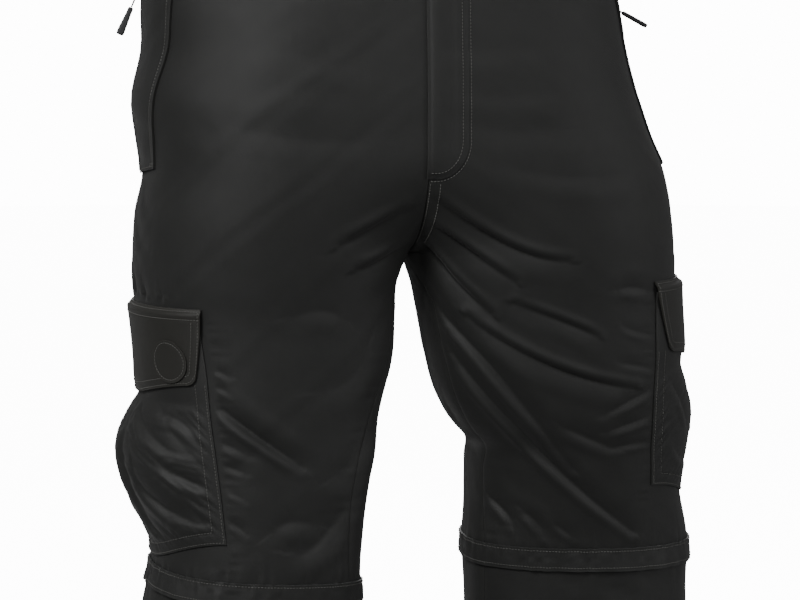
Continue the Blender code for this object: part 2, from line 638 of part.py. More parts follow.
def cargo_flap(side):
    """Cargo pocket flap."""
    size = FLAP[side]
    spread = np.array([0, 0.015, 0.05, 0.12, 0.2, 0.28, 0.36, 0.44, 0.52, 0.6, 0.68, 0.76, 0.84, 0.91, 0.965,
                       0.99, 1.0])
    climb = np.array([0, 0.2, 0.45, 0.7, 0.86, 0.93, 1.0])[:, None]
    front = size["front_low"] + (size["front_top"] - size["front_low"]) * climb
    girth = size["back"] + (front - size["back"]) * spread[None, :]
    low_girth = size["back"] + (size["front_low"] - size["back"]) * spread[None, :]
    low = flap_low(side, low_girth)
    height = low + (size["top"] - low) * climb
    lift = flap_lift(side, girth, height)
    outer = laid_on(side, girth, height, lift + FLAP_CLOTH)
    inner = laid_on(side, girth, height, lift)
    wall("cargo_flap_" + SIDE_WORD[side], outer, inner, FLAP_CLOTH_LOOK)


def flap_patch():
    """Round stitched patch on the right flap, left bare."""
    angle = np.linspace(0, 2 * math.pi, 28, endpoint=False)[None, :]
    radius = PATCH_RADIUS * np.array([0.12, 0.4, 0.7, 1.0])[:, None]
    girth = PATCH_GIRTH + radius * np.cos(angle)
    height = PATCH_HEIGHT + radius * np.sin(angle)
    lift = flap_lift(RIGHT, girth, height) + FLAP_CLOTH + 0.0004
    outer = laid_on(RIGHT, girth, height, lift + PATCH_CLOTH)
    inner = laid_on(RIGHT, girth, height, lift)
    rows, columns = outer.shape[:2]
    count = rows * columns
    faces = []
    for r in range(rows - 1):
        for c in range(columns):
            d = (c + 1) % columns
            a, b = r * columns + c, r * columns + d
            e, f = (r + 1) * columns + d, (r + 1) * columns + c
            faces.append((a, b, e, f))
            faces.append((count + f, count + e, count + b, count + a))
    last = (rows - 1) * columns
    for c in range(columns):
        d = (c + 1) % columns
        faces.append((last + c, last + d, count + last + d, count + last + c))
    top = 2 * count
    for c in range(columns):
        d = (c + 1) % columns
        faces.append((top, d, c))
        faces.append((top + 1, count + c, count + d))
    centre_outer = outer[0].mean(axis=0)
    centre_inner = inner[0].mean(axis=0)
    points = np.concatenate([outer.reshape(-1, 3), inner.reshape(-1, 3), [centre_outer], [centre_inner]])
    add_mesh("flap_patch", points, faces, FLAP_CLOTH_LOOK)


def hip_welt(side):
    """Strip of cloth over the hip pocket's zip, free along its front edge."""
    climb = np.linspace(0, 1, 17)[:, None]
    top = WAIST_LOW - 2 * SEAM
    height = WELT_LOW + (top - WELT_LOW) * climb
    front = WELT_LOW_GIRTH + (WELT_TOP_GIRTH - WELT_LOW_GIRTH) * climb + WELT_BOW[side] * np.sin(math.pi * climb)
    spread = np.linspace(0, 1, 5)[None, :]
    girth = WELT_BACK_GIRTH + (front - WELT_BACK_GIRTH) * spread
    height = height - WELT_SLANT * (1 - climb) * (1 - spread) + np.zeros(girth.shape)
    outer = laid_on(side, girth, height, HIP_STAND + CLOTH)
    inner = laid_on(side, girth, height, HIP_STAND)
    wall("hip_welt_" + SIDE_WORD[side], outer, inner, LEG_CLOTH)


def hip_zip(side):
    """Hip pocket zip, a narrow strip just ahead of the side seam."""
    height = np.linspace(WELT_LOW - 0.004, WAIST_LOW - 2 * SEAM, 17)[:, None]
    girth = np.array([HIP_ZIP_NEAR, HIP_ZIP_FAR])[None, :] + np.zeros(height.shape)
    outer = laid_on(side, girth, height, HIP_STAND + HIP_ZIP_THICK)
    inner = laid_on(side, girth, height, HIP_STAND)
    wall("hip_zip_" + SIDE_WORD[side], outer, inner, ZIP_TAPE)


def slider_frame(side):
    """Foot of the hip slider, with the unit directions out and down along the cloth in the XZ plane."""
    girth = np.array([SLIDER_GIRTH])
    height = np.array([SLIDER_HEIGHT[side]])
    foot = laid_on(side, girth, height, HIP_STAND + HIP_ZIP_THICK + SLIDER_CLEAR)[0]
    down = laid_on(side, girth, height - 0.01, LAID)[0] - laid_on(side, girth, height + 0.01, LAID)[0]
    down[1] = 0
    down /= np.linalg.norm(down)
    out = np.array([-down[2], 0, down[0]])
    if out[0] * side < 0:
        out = -out
    return foot, out, down


def slider_pivot(side):
    """Middle of the slider's window, which the pull swings about along Y."""
    foot, out, _ = slider_frame(side)
    return foot + out * (SLIDER_TALL - SLIDER_ROOF - WINDOW_TALL / 2)


def arch_outline(half_long, low, high, corner):
    """Rectangle with its two upper corners cut off."""
    return [(-half_long, low), (half_long, low), (half_long, high - corner), (half_long - corner, high),
            (-half_long + corner, high), (-half_long, high - corner)]


def hip_slider(side):
    """Slider: a short arch with a window for the pull's cord."""
    foot, out, down = slider_frame(side)
    window_high = SLIDER_TALL - SLIDER_ROOF
    outline = arch_outline(SLIDER_LONG / 2, 0.0, SLIDER_TALL, SLIDER_CORNER)
    window = arch_outline(WINDOW_LONG / 2, window_high - WINDOW_TALL, window_high, WINDOW_CORNER)
    points = []
    for offset in (-SLIDER_WIDE / 2, SLIDER_WIDE / 2):
        for along, rise in outline + window:
            points.append(foot + down * along + out * rise + np.array([0, offset, 0]))
    count = len(outline)
    faces = []
    for c in range(count):
        d = (c + 1) % count
        faces.append((c, d, count + d, count + c))
        faces.append((2 * count + d, 2 * count + c, 3 * count + c, 3 * count + d))
        faces.append((d, c, 2 * count + c, 2 * count + d))
        faces.append((count + c, count + d, 3 * count + d, 3 * count + c))
    add_mesh("hip_slider_" + SIDE_WORD[side], points, faces, DARK_METAL)


def pull_direction(side):
    angle = math.radians(PULL_ANGLE[side])
    return np.array([side * math.sin(angle), 0, -math.cos(angle)])


def hip_cord(side, swing):
    """Loop of cord through the slider's window, down to the moulded pull on both sides."""
    pivot = slider_pivot(side)
    along = pull_direction(side)
    track = list(CORD_TRACK)
    widest = CORD_TRACK[-1][0]
    for angle in (math.pi / 6, math.pi / 3, math.pi / 2):
        track.append((widest - CORD_BEND * (1 - math.cos(angle)), CORD_BEND * (1 - math.sin(angle))))
    path = [pivot + along * run + np.array([0, -spread, 0]) for spread, run in track]
    path += [pivot + along * run + np.array([0, spread, 0]) for spread, run in reversed(track)]
    tube("hip_cord_" + SIDE_WORD[side], path, CORD_RADIUS, 6, PULL_CORD, swing)


def hip_pull(side, swing):
    """Moulded pull: a slim flat tab that widens towards its rounded tip, face or edge to the front."""
    pivot = slider_pivot(side)
    along = pull_direction(side)
    level = np.array([0, 1, 0])
    lifted = np.cross(along, level)
    wide_way, thick_way = (level, lifted) if PULL_EDGE_ON[side] else (lifted, level)
    corner = np.array([(1, 0.45), (0.8, 0.85), (0.4, 1.0), (-0.4, 1.0), (-0.8, 0.85), (-1, 0.45),
                       (-1, -0.45), (-0.8, -0.85), (-0.4, -1.0), (0.4, -1.0), (0.8, -0.85), (1, -0.45)])
    rings = []
    for run, wide, thick in PULL_STATIONS:
        centre = pivot + along * (PULL_START + run)
        rings.append(centre + corner[:, :1] * wide / 2 * wide_way + corner[:, 1:] * thick / 2 * thick_way)
    loft("hip_pull_" + SIDE_WORD[side], np.array(rings), PULL_RUBBER, swing)


def waistband():
    """Waistband ring, open at the front with the wearer's left end lapped over the right."""
    count = 14
    stops = [(RIGHT, FRONT, -1, LAP_OVER)]
    for share in np.linspace(0, 1, count + 1):
        stops.append((LEFT, FRONT, share, 0))
    for share in np.linspace(1, 0, count + 1)[1:]:
        stops.append((LEFT, BACK, share, 0))
    for share in np.linspace(0, 1, count + 1)[1:]:
        stops.append((RIGHT, BACK, share, 0))
    for share in np.linspace(1, 0, count + 1)[1:]:
        stops.append((RIGHT, FRONT, share, 0))
    stops.append((LEFT, FRONT, -1, LAP_UNDER))
    heights = np.linspace(WAIST_TOP, WAIST_LOW, 4)
    outer, inner = [], []
    travelled = -LAP_OVER
    for k, (side, half, share, lap) in enumerate(stops):
        length = half_girth(side, half, heights)
        use = lap / length if share < 0 else np.full(4, share)
        if k > 1 and k < len(stops) - 1:
            travelled += length.mean() / count
        if k == 1:
            travelled = 0.0
        lift = LAP_LIFT * (1 - smooth_step(travelled, *LAP_FADE)) if k <= count else 0.0
        row_out = cloth(side, half, use, heights, np.full(4, lift + 0.0004))
        row_in = cloth(side, half, use, heights, np.full(4, lift + 0.0004 - WAIST_THICK))
        if share == 0:
            row_out[:, 0] = 0
            row_in[:, 0] = 0
        outer.append(row_out)
        inner.append(row_in)
    wall("waistband", np.array(outer), np.array(inner), LEG_CLOTH)


def waist_button():
    """Flat round button on the lapped end of the waistband, leaning with the cloth."""
    front = cloth(LEFT, FRONT, np.full(3, 0.004), np.array([-0.01, 0.0, 0.01]), np.zeros(3))[:, 1]
    lean = (front[2] - front[0]) / 0.02
    angle = np.linspace(0, 2 * math.pi, 24, endpoint=False)
    rings = []
    for depth, radius in BUTTON_STATIONS:
        x = radius * np.cos(angle) + BUTTON_SIDEWAYS
        z = radius * np.sin(angle)
        y = front[1] - BUTTON_GAP - depth + lean * z
        rings.append(np.stack([x, y, z], axis=1))
    loft("waist_button", np.array(rings), BUTTON_PLASTIC)


def fly_placket():
    """Fly: a second layer of cloth on the wearer's left, its lower end rounded."""
    spread = np.linspace(0, 1, 7)[None, :]
    climb = np.array([0, 0.03, 0.08, 0.16, 0.26, 0.38, 0.5, 0.62, 0.74, 0.87, 1.0])[:, None]
    offset = -FLY_OVER + (FLY_WIDE + FLY_OVER) * spread
    past = np.clip((offset - 0.006) / (FLY_WIDE - 0.006), 0, 1)
    low = FLY_LOW + FLY_ROUND * (1 - np.sqrt(1 - 0.97 * past ** 2))
    top = WAIST_LOW - 2 * SEAM
    height = low + (top - low) * climb
    offset = offset + np.zeros(height.shape)
    outer = by_middle(offset, height, LAID + CLOTH)
    inner = by_middle(offset, height, LAID)
    wall("fly_placket", outer, inner, LEG_CLOTH)


def fly_zip():
    """Fly zip's tape, behind the front."""
    height = np.linspace(FLY_ZIP_LOW, WAIST_LOW - 0.004, 8)[:, None]
    offset = np.array([-FLY_ZIP_HALF, 0.0, FLY_ZIP_HALF])[None, :] + np.zeros(height.shape)
    outer = by_middle(offset, height, -CLOTH - LAID)
    inner = by_middle(offset, height, -CLOTH - LAID - FLY_ZIP_THICK)
    wall("fly_zip", outer, inner, ZIP_TAPE)


def main():
    for old in list(bpy.data.objects):
        bpy.data.objects.remove(old, do_unlink=True)
    trousers = add_empty("trousers", (0, 0, 0))
    waistband()
    waist_button()
    fly_placket()
    fly_zip()
    for side in (RIGHT, LEFT):
        word = SIDE_WORD[side]
        half_panel(side, FRONT, "front_" + word, 16, 14, 17)
        half_panel(side, BACK, "back_" + word, 13, 15, 17)
        lower_panel(side, FRONT, "lower_front_" + word, 9, 11)
        lower_panel(side, BACK, "lower_back_" + word, 9, 11)
        hip_welt(side)
        hip_zip(side)
        hip_slider(side)
        swing = add_empty("pull_" + word, slider_pivot(side), trousers)
        hip_cord(side, swing)
        hip_pull(side, swing)
        cargo_pocket(side)
        cargo_flap(side)
        knee_zip(side)
        knee_band(side)
    flap_patch()


main()
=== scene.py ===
# %% [markdown]
# # Black zip-off trousers, as worn
# The trousers hang on an unseen wearer: one waist, two legs, a cargo pocket at the side of each thigh and a
# zip round each knee that is covered by a folded band. The imported CAD model gives every piece its place.
# This script dresses it: fine cloth with folds, rows of stitching, finishes for the zips and moulded pulls, light and
# camera.

# %% The frame
import math

import bmesh
import bpy
import numpy as np
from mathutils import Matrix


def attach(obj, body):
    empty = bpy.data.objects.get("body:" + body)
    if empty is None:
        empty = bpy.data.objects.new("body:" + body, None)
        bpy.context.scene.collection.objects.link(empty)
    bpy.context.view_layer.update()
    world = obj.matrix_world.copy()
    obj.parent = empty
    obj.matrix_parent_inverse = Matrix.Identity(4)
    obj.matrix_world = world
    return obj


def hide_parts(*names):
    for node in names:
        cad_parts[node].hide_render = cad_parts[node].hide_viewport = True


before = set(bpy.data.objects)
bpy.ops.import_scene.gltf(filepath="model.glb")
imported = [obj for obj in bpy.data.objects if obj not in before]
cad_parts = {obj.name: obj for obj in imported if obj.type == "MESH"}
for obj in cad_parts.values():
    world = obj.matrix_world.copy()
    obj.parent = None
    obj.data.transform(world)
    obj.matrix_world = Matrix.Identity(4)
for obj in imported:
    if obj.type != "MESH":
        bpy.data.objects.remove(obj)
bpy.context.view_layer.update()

# %% [markdown]
# ## One smooth surface under all the cloth
# A garment is cut flat and worn round. Each leg is a stack of level rings, and a ring is four quarters of a
# superellipse, which is an ellipse with slightly squarer shoulders. A place on the cloth is named by its side,
# its half (front or back), its share of the way from the middle seam to the side seam, and its height. These
# are the same rings as in the CAD model, so whatever is built here lies exactly on its solids.

# %% Sizes of the garment, in metres
WAIST_TOP = 0.020
WAIST_LOW = -0.020
CROTCH = -0.255
HEM = -1.045
FRONT_CURVE = 0.085
BACK_CURVE = 0.135
ROUNDNESS = 2.2
CLOTH = 0.0012
SEAM = 0.00015
LAID = 0.00045

RIGHT, LEFT = -1, 1
FRONT, BACK = -1, 1
SIDE_WORD = {RIGHT: "right", LEFT: "left"}
HALF_WORD = {FRONT: "front", BACK: "back"}

# Each row is a level ring: height, distances of side seam, inseam and crest from the middle plane, then depths.
RING_WORDS = ("height", "side", "inner", "crest", "side_y", "inner_y", "front", "back")
RINGS = {
    RIGHT: (
        (0.020, 0.192, 0.000, 0.040, 0.000, -0.010, -0.104, 0.106),
        (-0.020, 0.203, 0.000, 0.052, 0.002, -0.012, -0.107, 0.112),
        (-0.055, 0.2078, 0.000, 0.068, 0.004, -0.014, -0.110, 0.120),
        (-0.090, 0.2075, 0.000, 0.080, 0.006, -0.016, -0.113, 0.128),
        (-0.134, 0.2158, 0.000, 0.092, 0.007, -0.018, -0.115, 0.134),
        (-0.160, 0.2127, 0.000, 0.099, 0.008, -0.019, -0.115, 0.135),
        (-0.190, 0.2092, 0.000, 0.104, 0.008, -0.020, -0.115, 0.134),
        (-0.225, 0.2160, 0.000, 0.109, 0.008, -0.020, -0.112, 0.129),
        (-0.255, 0.2185, 0.000, 0.111, 0.008, -0.020, -0.108, 0.122),
        (-0.281, 0.2190, 0.0100, 0.1115, 0.007, -0.024, -0.104, 0.115),
        (-0.300, 0.2165, 0.0113, 0.112, 0.006, -0.028, -0.101, 0.110),
        (-0.340, 0.2130, 0.0146, 0.113, 0.004, -0.034, -0.098, 0.102),
        (-0.380, 0.2125, 0.0269, 0.115, 0.002, -0.044, -0.096, 0.096),
        (-0.420, 0.2100, 0.0340, 0.119, 0.000, -0.056, -0.094, 0.091),
        (-0.460, 0.2080, 0.0405, 0.121, -0.002, -0.056, -0.093, 0.087),
        (-0.511, 0.2075, 0.0434, 0.123, -0.004, -0.048, -0.092, 0.084),
        (-0.548, 0.2150, 0.0435, 0.126, -0.002, -0.038, -0.088, 0.084),
        (-0.600, 0.2130, 0.0470, 0.128, 0.002, -0.028, -0.084, 0.086),
        (-0.720, 0.2120, 0.0540, 0.133, 0.014, -0.008, -0.071, 0.097),
        (-0.880, 0.2100, 0.0730, 0.141, 0.033, 0.018, -0.046, 0.110),
        (-1.045, 0.2100, 0.0900, 0.150, 0.050, 0.042, -0.024, 0.124),
    ),
    LEFT: (
        (0.020, 0.166, 0.000, 0.040, 0.000, -0.010, -0.104, 0.106),
        (-0.020, 0.170, 0.000, 0.050, 0.002, -0.012, -0.107, 0.112),
        (-0.055, 0.1790, 0.000, 0.064, 0.004, -0.014, -0.110, 0.120),
        (-0.090, 0.1846, 0.000, 0.076, 0.006, -0.016, -0.113, 0.128),
        (-0.134, 0.1966, 0.000, 0.088, 0.007, -0.018, -0.115, 0.134),
        (-0.160, 0.2064, 0.000, 0.098, 0.008, -0.019, -0.115, 0.135),
        (-0.190, 0.2196, 0.000, 0.106, 0.008, -0.020, -0.115, 0.134),
        (-0.225, 0.2274, 0.000, 0.114, 0.008, -0.020, -0.112, 0.129),
        (-0.255, 0.2308, 0.000, 0.118, 0.008, -0.020, -0.108, 0.122),
        (-0.281, 0.2321, 0.0085, 0.122, 0.008, -0.022, -0.103, 0.117),
        (-0.300, 0.2333, 0.0122, 0.125, 0.008, -0.023, -0.099, 0.112),
        (-0.340, 0.2370, 0.0200, 0.132, 0.011, -0.022, -0.092, 0.111),
        (-0.380, 0.2394, 0.0326, 0.1385, 0.015, -0.018, -0.083, 0.111),
        (-0.400, 0.2402, 0.0455, 0.142, 0.019, -0.010, -0.078, 0.112),
        (-0.416, 0.2410, 0.0600, 0.146, 0.022, -0.002, -0.073, 0.114),
        (-0.435, 0.2428, 0.0608, 0.150, 0.026, 0.006, -0.068, 0.116),
        (-0.460, 0.2460, 0.0615, 0.153, 0.030, 0.010, -0.062, 0.118),
        (-0.502, 0.2560, 0.0602, 0.158, 0.038, 0.008, -0.052, 0.126),
        (-0.548, 0.2572, 0.0630, 0.162, 0.042, 0.016, -0.047, 0.127),
        (-0.600, 0.2590, 0.0680, 0.166, 0.044, 0.028, -0.044, 0.128),
        (-0.720, 0.2600, 0.1000, 0.179, 0.047, 0.036, -0.036, 0.130),
        (-0.880, 0.2660, 0.1260, 0.196, 0.049, 0.041, -0.028, 0.126),
        (-1.045, 0.2730, 0.1530, 0.213, 0.050, 0.042, -0.024, 0.124),
    ),
}


# %% Rings of the garment
def smooth_step(value, low, high):
    """0 below low, 1 above high, and an S-shaped cubic in between."""
    t = np.clip((value - low) / (high - low), 0, 1)
    return t * t * (3 - 2 * t)


def ring_size(side, word, height):
    """One column of RINGS at any height, by cubic pieces whose slopes are central differences."""
    rows = sorted(RINGS[side])
    heights = np.array([row[0] for row in rows])
    values = np.array([row[RING_WORDS.index(word)] for row in rows])
    slopes = np.gradient(values, heights)
    height = np.clip(height, heights[0], heights[-1])
    k = np.clip(np.searchsorted(heights, height) - 1, 0, len(rows) - 2)
    span = heights[k + 1] - heights[k]
    t = (height - heights[k]) / span
    low = values[k] * (1 + 2 * t) * (1 - t) ** 2 + slopes[k] * span * t * (1 - t) ** 2
    high = values[k + 1] * t ** 2 * (3 - 2 * t) - slopes[k + 1] * span * t ** 2 * (1 - t)
    return low + high


def half_ring(side, half, height):
    """Numbers that shape the half ring at each height. Above the crotch the middle seam climbs a quarter curve."""
    curve = FRONT_CURVE if half == FRONT else BACK_CURVE
    climb = np.clip((height - CROTCH) / curve, 0, 1)
    reach = 0.999 * np.sqrt(1 - (1 - climb) ** 2)
    ring = {word: ring_size(side, word, height) for word in RING_WORDS[1:6]}
    ring["inner"] = np.where(height >= CROTCH, 0.0, np.maximum(ring["inner"], 0.0004))
    ring["start"] = np.arcsin(reach ** (ROUNDNESS / 2))
    ring["depth"] = ring_size(side, HALF_WORD[half], height)
    return ring


def on_ring(ring, step):
    """Level point of a half ring: step 0 is its middle seam, 1 its crest and 2 its side seam.
    Each quarter is a superellipse: cosine and sine of the angle, both to the power 2 / ROUNDNESS."""
    power = 2 / ROUNDNESS
    start = ring["start"]
    inner_angle = start + (math.pi / 2 - start) * np.clip(step, 0, 1)
    outer_angle = math.pi / 2 * np.clip(2 - step, 0, 1)
    shrink = np.clip(np.cos(inner_angle), 0, 1) / np.cos(start)
    x_inner = ring["crest"] - (ring["crest"] - ring["inner"]) * shrink ** power
    y_inner = ring["inner_y"] + (ring["depth"] - ring["inner_y"]) * np.sin(inner_angle) ** power
    x_outer = ring["crest"] + (ring["side"] - ring["crest"]) * np.clip(np.cos(outer_angle), 0, 1) ** power
    y_outer = ring["side_y"] + (ring["depth"] - ring["side_y"]) * np.sin(outer_angle) ** power
    return np.where(step < 1, x_inner, x_outer), np.where(step < 1, y_inner, y_outer)


# %% [markdown]
# ## Read the surface from a table
# Working out thousands of rings again for every small piece would be slow. So the smooth surface and its
# outward direction are worked out once, on rows that crowd together at the crotch where the shape turns
# fastest, and every piece reads its points between those rows.

# %% The surface table
TABLE_SHARES = 161
upper_rows = CROTCH + (WAIST_TOP + 0.012 - CROTCH) * np.linspace(0, 1, 190) ** 2
lower_rows = np.linspace(HEM - 0.012, CROTCH, 330)[:-1]
TABLE_HEIGHTS = np.concatenate([lower_rows, upper_rows])


SMOOTH_REACH = 0.024


def over_heights(grid, lengths):
    """Weighted mean of a table with its neighbours up and down, at equal girth from the side seam: a bell."""
    rows = np.arange(len(TABLE_HEIGHTS))
    girth = (1 - np.linspace(0, 1, TABLE_SHARES))[None, :] * lengths[:, None]
    total, weight_sum = 0.0, 0.0
    for move in np.linspace(-SMOOTH_REACH, SMOOTH_REACH, 13):
        row = np.interp(TABLE_HEIGHTS + move, TABLE_HEIGHTS, rows)[:, None]
        there = np.interp(TABLE_HEIGHTS + move, TABLE_HEIGHTS, lengths)[:, None]
        column = np.clip(1 - girth / there, 0, 1) * (TABLE_SHARES - 1)
        r = np.minimum(row.astype(int), len(rows) - 2)
        c = np.minimum(column.astype(int), TABLE_SHARES - 2)
        fr, fc = (row - r)[..., None], (column - c)[..., None]
        low = grid[r, c] * (1 - fc) + grid[r, c + 1] * fc
        high = grid[r + 1, c] * (1 - fc) + grid[r + 1, c + 1] * fc
        weight = math.exp(-(2 * move / SMOOTH_REACH) ** 2)
        total = total + weight * (low * (1 - fr) + high * fr)
        weight_sum += weight
    return total / weight_sum


def surface_table(side, half):
    """Points, outward normals and half girths: equal steps of cloth length along each level ring."""
    ring = {word: value[:, None] for word, value in half_ring(side, half, TABLE_HEIGHTS).items()}
    steps = np.linspace(0, 2, 97)
    x, y = on_ring(ring, steps[None, :])
    run = np.cumsum(np.hypot(np.diff(x, axis=1), np.diff(y, axis=1)), axis=1)
    along = np.concatenate([np.zeros((len(TABLE_HEIGHTS), 1)), run], axis=1)
    target = np.linspace(0, 1, TABLE_SHARES)[None, :] * along[:, -1:]
    k = np.clip((along[:, :, None] <= target[:, None, :]).sum(axis=1) - 1, 0, len(steps) - 2)
    low = np.take_along_axis(along, k, axis=1)
    high = np.take_along_axis(along, k + 1, axis=1)
    step = steps[k] + (target - low) / (high - low) * (steps[1] - steps[0])
    x, y = on_ring(ring, step)
    point = np.stack([side * np.maximum(x, SEAM), y, TABLE_HEIGHTS[:, None] + 0 * x], axis=-1)
    near_crotch = np.exp(-((TABLE_HEIGHTS - CROTCH) / 0.035) ** 2)[:, None, None]
    away = smooth_step(np.linspace(0, 1, TABLE_SHARES), 0.02, 0.12)[None, :, None] * near_crotch
    point = point + (over_heights(point, along[:, -1]) - point) * away
    normal = np.cross(np.gradient(point, axis=1), np.gradient(point, axis=0)) * (-side * half)
    normal = over_heights(normal / np.linalg.norm(normal, axis=-1, keepdims=True), along[:, -1])
    normal /= np.linalg.norm(normal, axis=-1, keepdims=True)
    return point, normal, along[:, -1]


TABLE = {(side, half): surface_table(side, half) for side in (RIGHT, LEFT) for half in (FRONT, BACK)}
print("half girths at the knee", [round(float(np.interp(-0.511, TABLE_HEIGHTS, t[2])), 3) for t in TABLE.values()])


def half_girth(side, half, height):
    """Length of cloth from the middle seam or inseam to the side seam."""
    return np.interp(height, TABLE_HEIGHTS, TABLE[side, half][2])


def skin(side, half, share, height):
    """Point and outward normal of the smooth surface, read between four neighbours of the table."""
    share, height = np.broadcast_arrays(share, height)
    row = np.interp(height, TABLE_HEIGHTS, np.arange(len(TABLE_HEIGHTS)))
    column = np.clip(share, 0, 1) * (TABLE_SHARES - 1)
    r = np.minimum(row.astype(int), len(TABLE_HEIGHTS) - 2)
    c = np.minimum(column.astype(int), TABLE_SHARES - 2)
    fr, fc = (row - r)[..., None], (column - c)[..., None]
    found = []
    for grid in TABLE[side, half][:2]:
        low = grid[r, c] * (1 - fc) + grid[r, c + 1] * fc
        high = grid[r + 1, c] * (1 - fc) + grid[r + 1, c + 1] * fc
        found.append(low * (1 - fr) + high * fr)
    return found[0], found[1] / np.linalg.norm(found[1], axis=-1, keepdims=True)


# %% [markdown]
# ## Where the pockets, flaps and zips sit
# Pockets, flaps and welts are sewn onto the leg, so they are measured as a tailor would: along the cloth,
# ahead of the side seam (negative behind it), and by height.

# %% Sizes of pockets, flaps, zips and fly
KNEE_TOP = {RIGHT: -0.511, LEFT: -0.502}
KNEE_TILT = {RIGHT: 0.007, LEFT: -0.004}
BAND_HEIGHT = 0.019
ZIP_START = 0.006
ZIP_END = 0.0125

POCKET = {
    RIGHT: {"front": 0.1035, "front_top": 0.0980, "back": -0.076, "top": -0.302, "low_front": -0.480,
            "low_back": -0.4985,
            "bulge": 0.0225, "peak": -0.416, "bulge_top": -0.3695, "bulge_low": -0.488},
    LEFT: {"front": 0.0975, "front_top": 0.0965, "back": -0.078, "top": -0.288, "low_front": -0.450,
           "low_back": -0.4665,
           "bulge": 0.0110, "peak": -0.400, "bulge_top": -0.3525, "bulge_low": -0.460},
}
FLAP = {
    RIGHT: {"front_top": 0.1035, "front_low": 0.0925, "back": -0.079, "top": -0.294,
            "low_front": -0.354, "low_side": -0.3665},
    LEFT: {"front_top": 0.1010, "front_low": 0.0840, "back": -0.081, "top": -0.279,
           "low_front": -0.338, "low_side": -0.348},
}
FLAP_CORNER = 0.009
FLAP_CLOTH = 0.0016
PATCH_GIRTH = 0.0690
PATCH_HEIGHT = -0.336
PATCH_RADIUS = 0.0172
PATCH_CLOTH = 0.0010

WELT_TOP_GIRTH = 0.060
WELT_BOW = {RIGHT: 0.0075, LEFT: 0.0}
WELT_LOW_GIRTH = 0.042
WELT_BACK_GIRTH = -0.0115
WELT_LOW = -0.186
HIP_STAND = 0.0010

FLY_OVER = 0.0020
FLY_WIDE = 0.0310
FLY_LOW = -0.1925


# Below the crotch the inseam turns forward, off the leg's innermost line.
INSEAM_AHEAD = {RIGHT: 0.031, LEFT: 0.028}
INSEAM_TURN = 0.045


def knee_height(side, share, drop):
    """Height of a line that runs level with the knee band, drop below its top edge."""
    return KNEE_TOP[side] + KNEE_TILT[side] * (2 * share - 1) - drop


def inseam_shift(side, height):
    """How far the inseam lies ahead of the leg's innermost line."""
    return INSEAM_AHEAD[side] * smooth_step(-height, -CROTCH, -CROTCH + INSEAM_TURN)
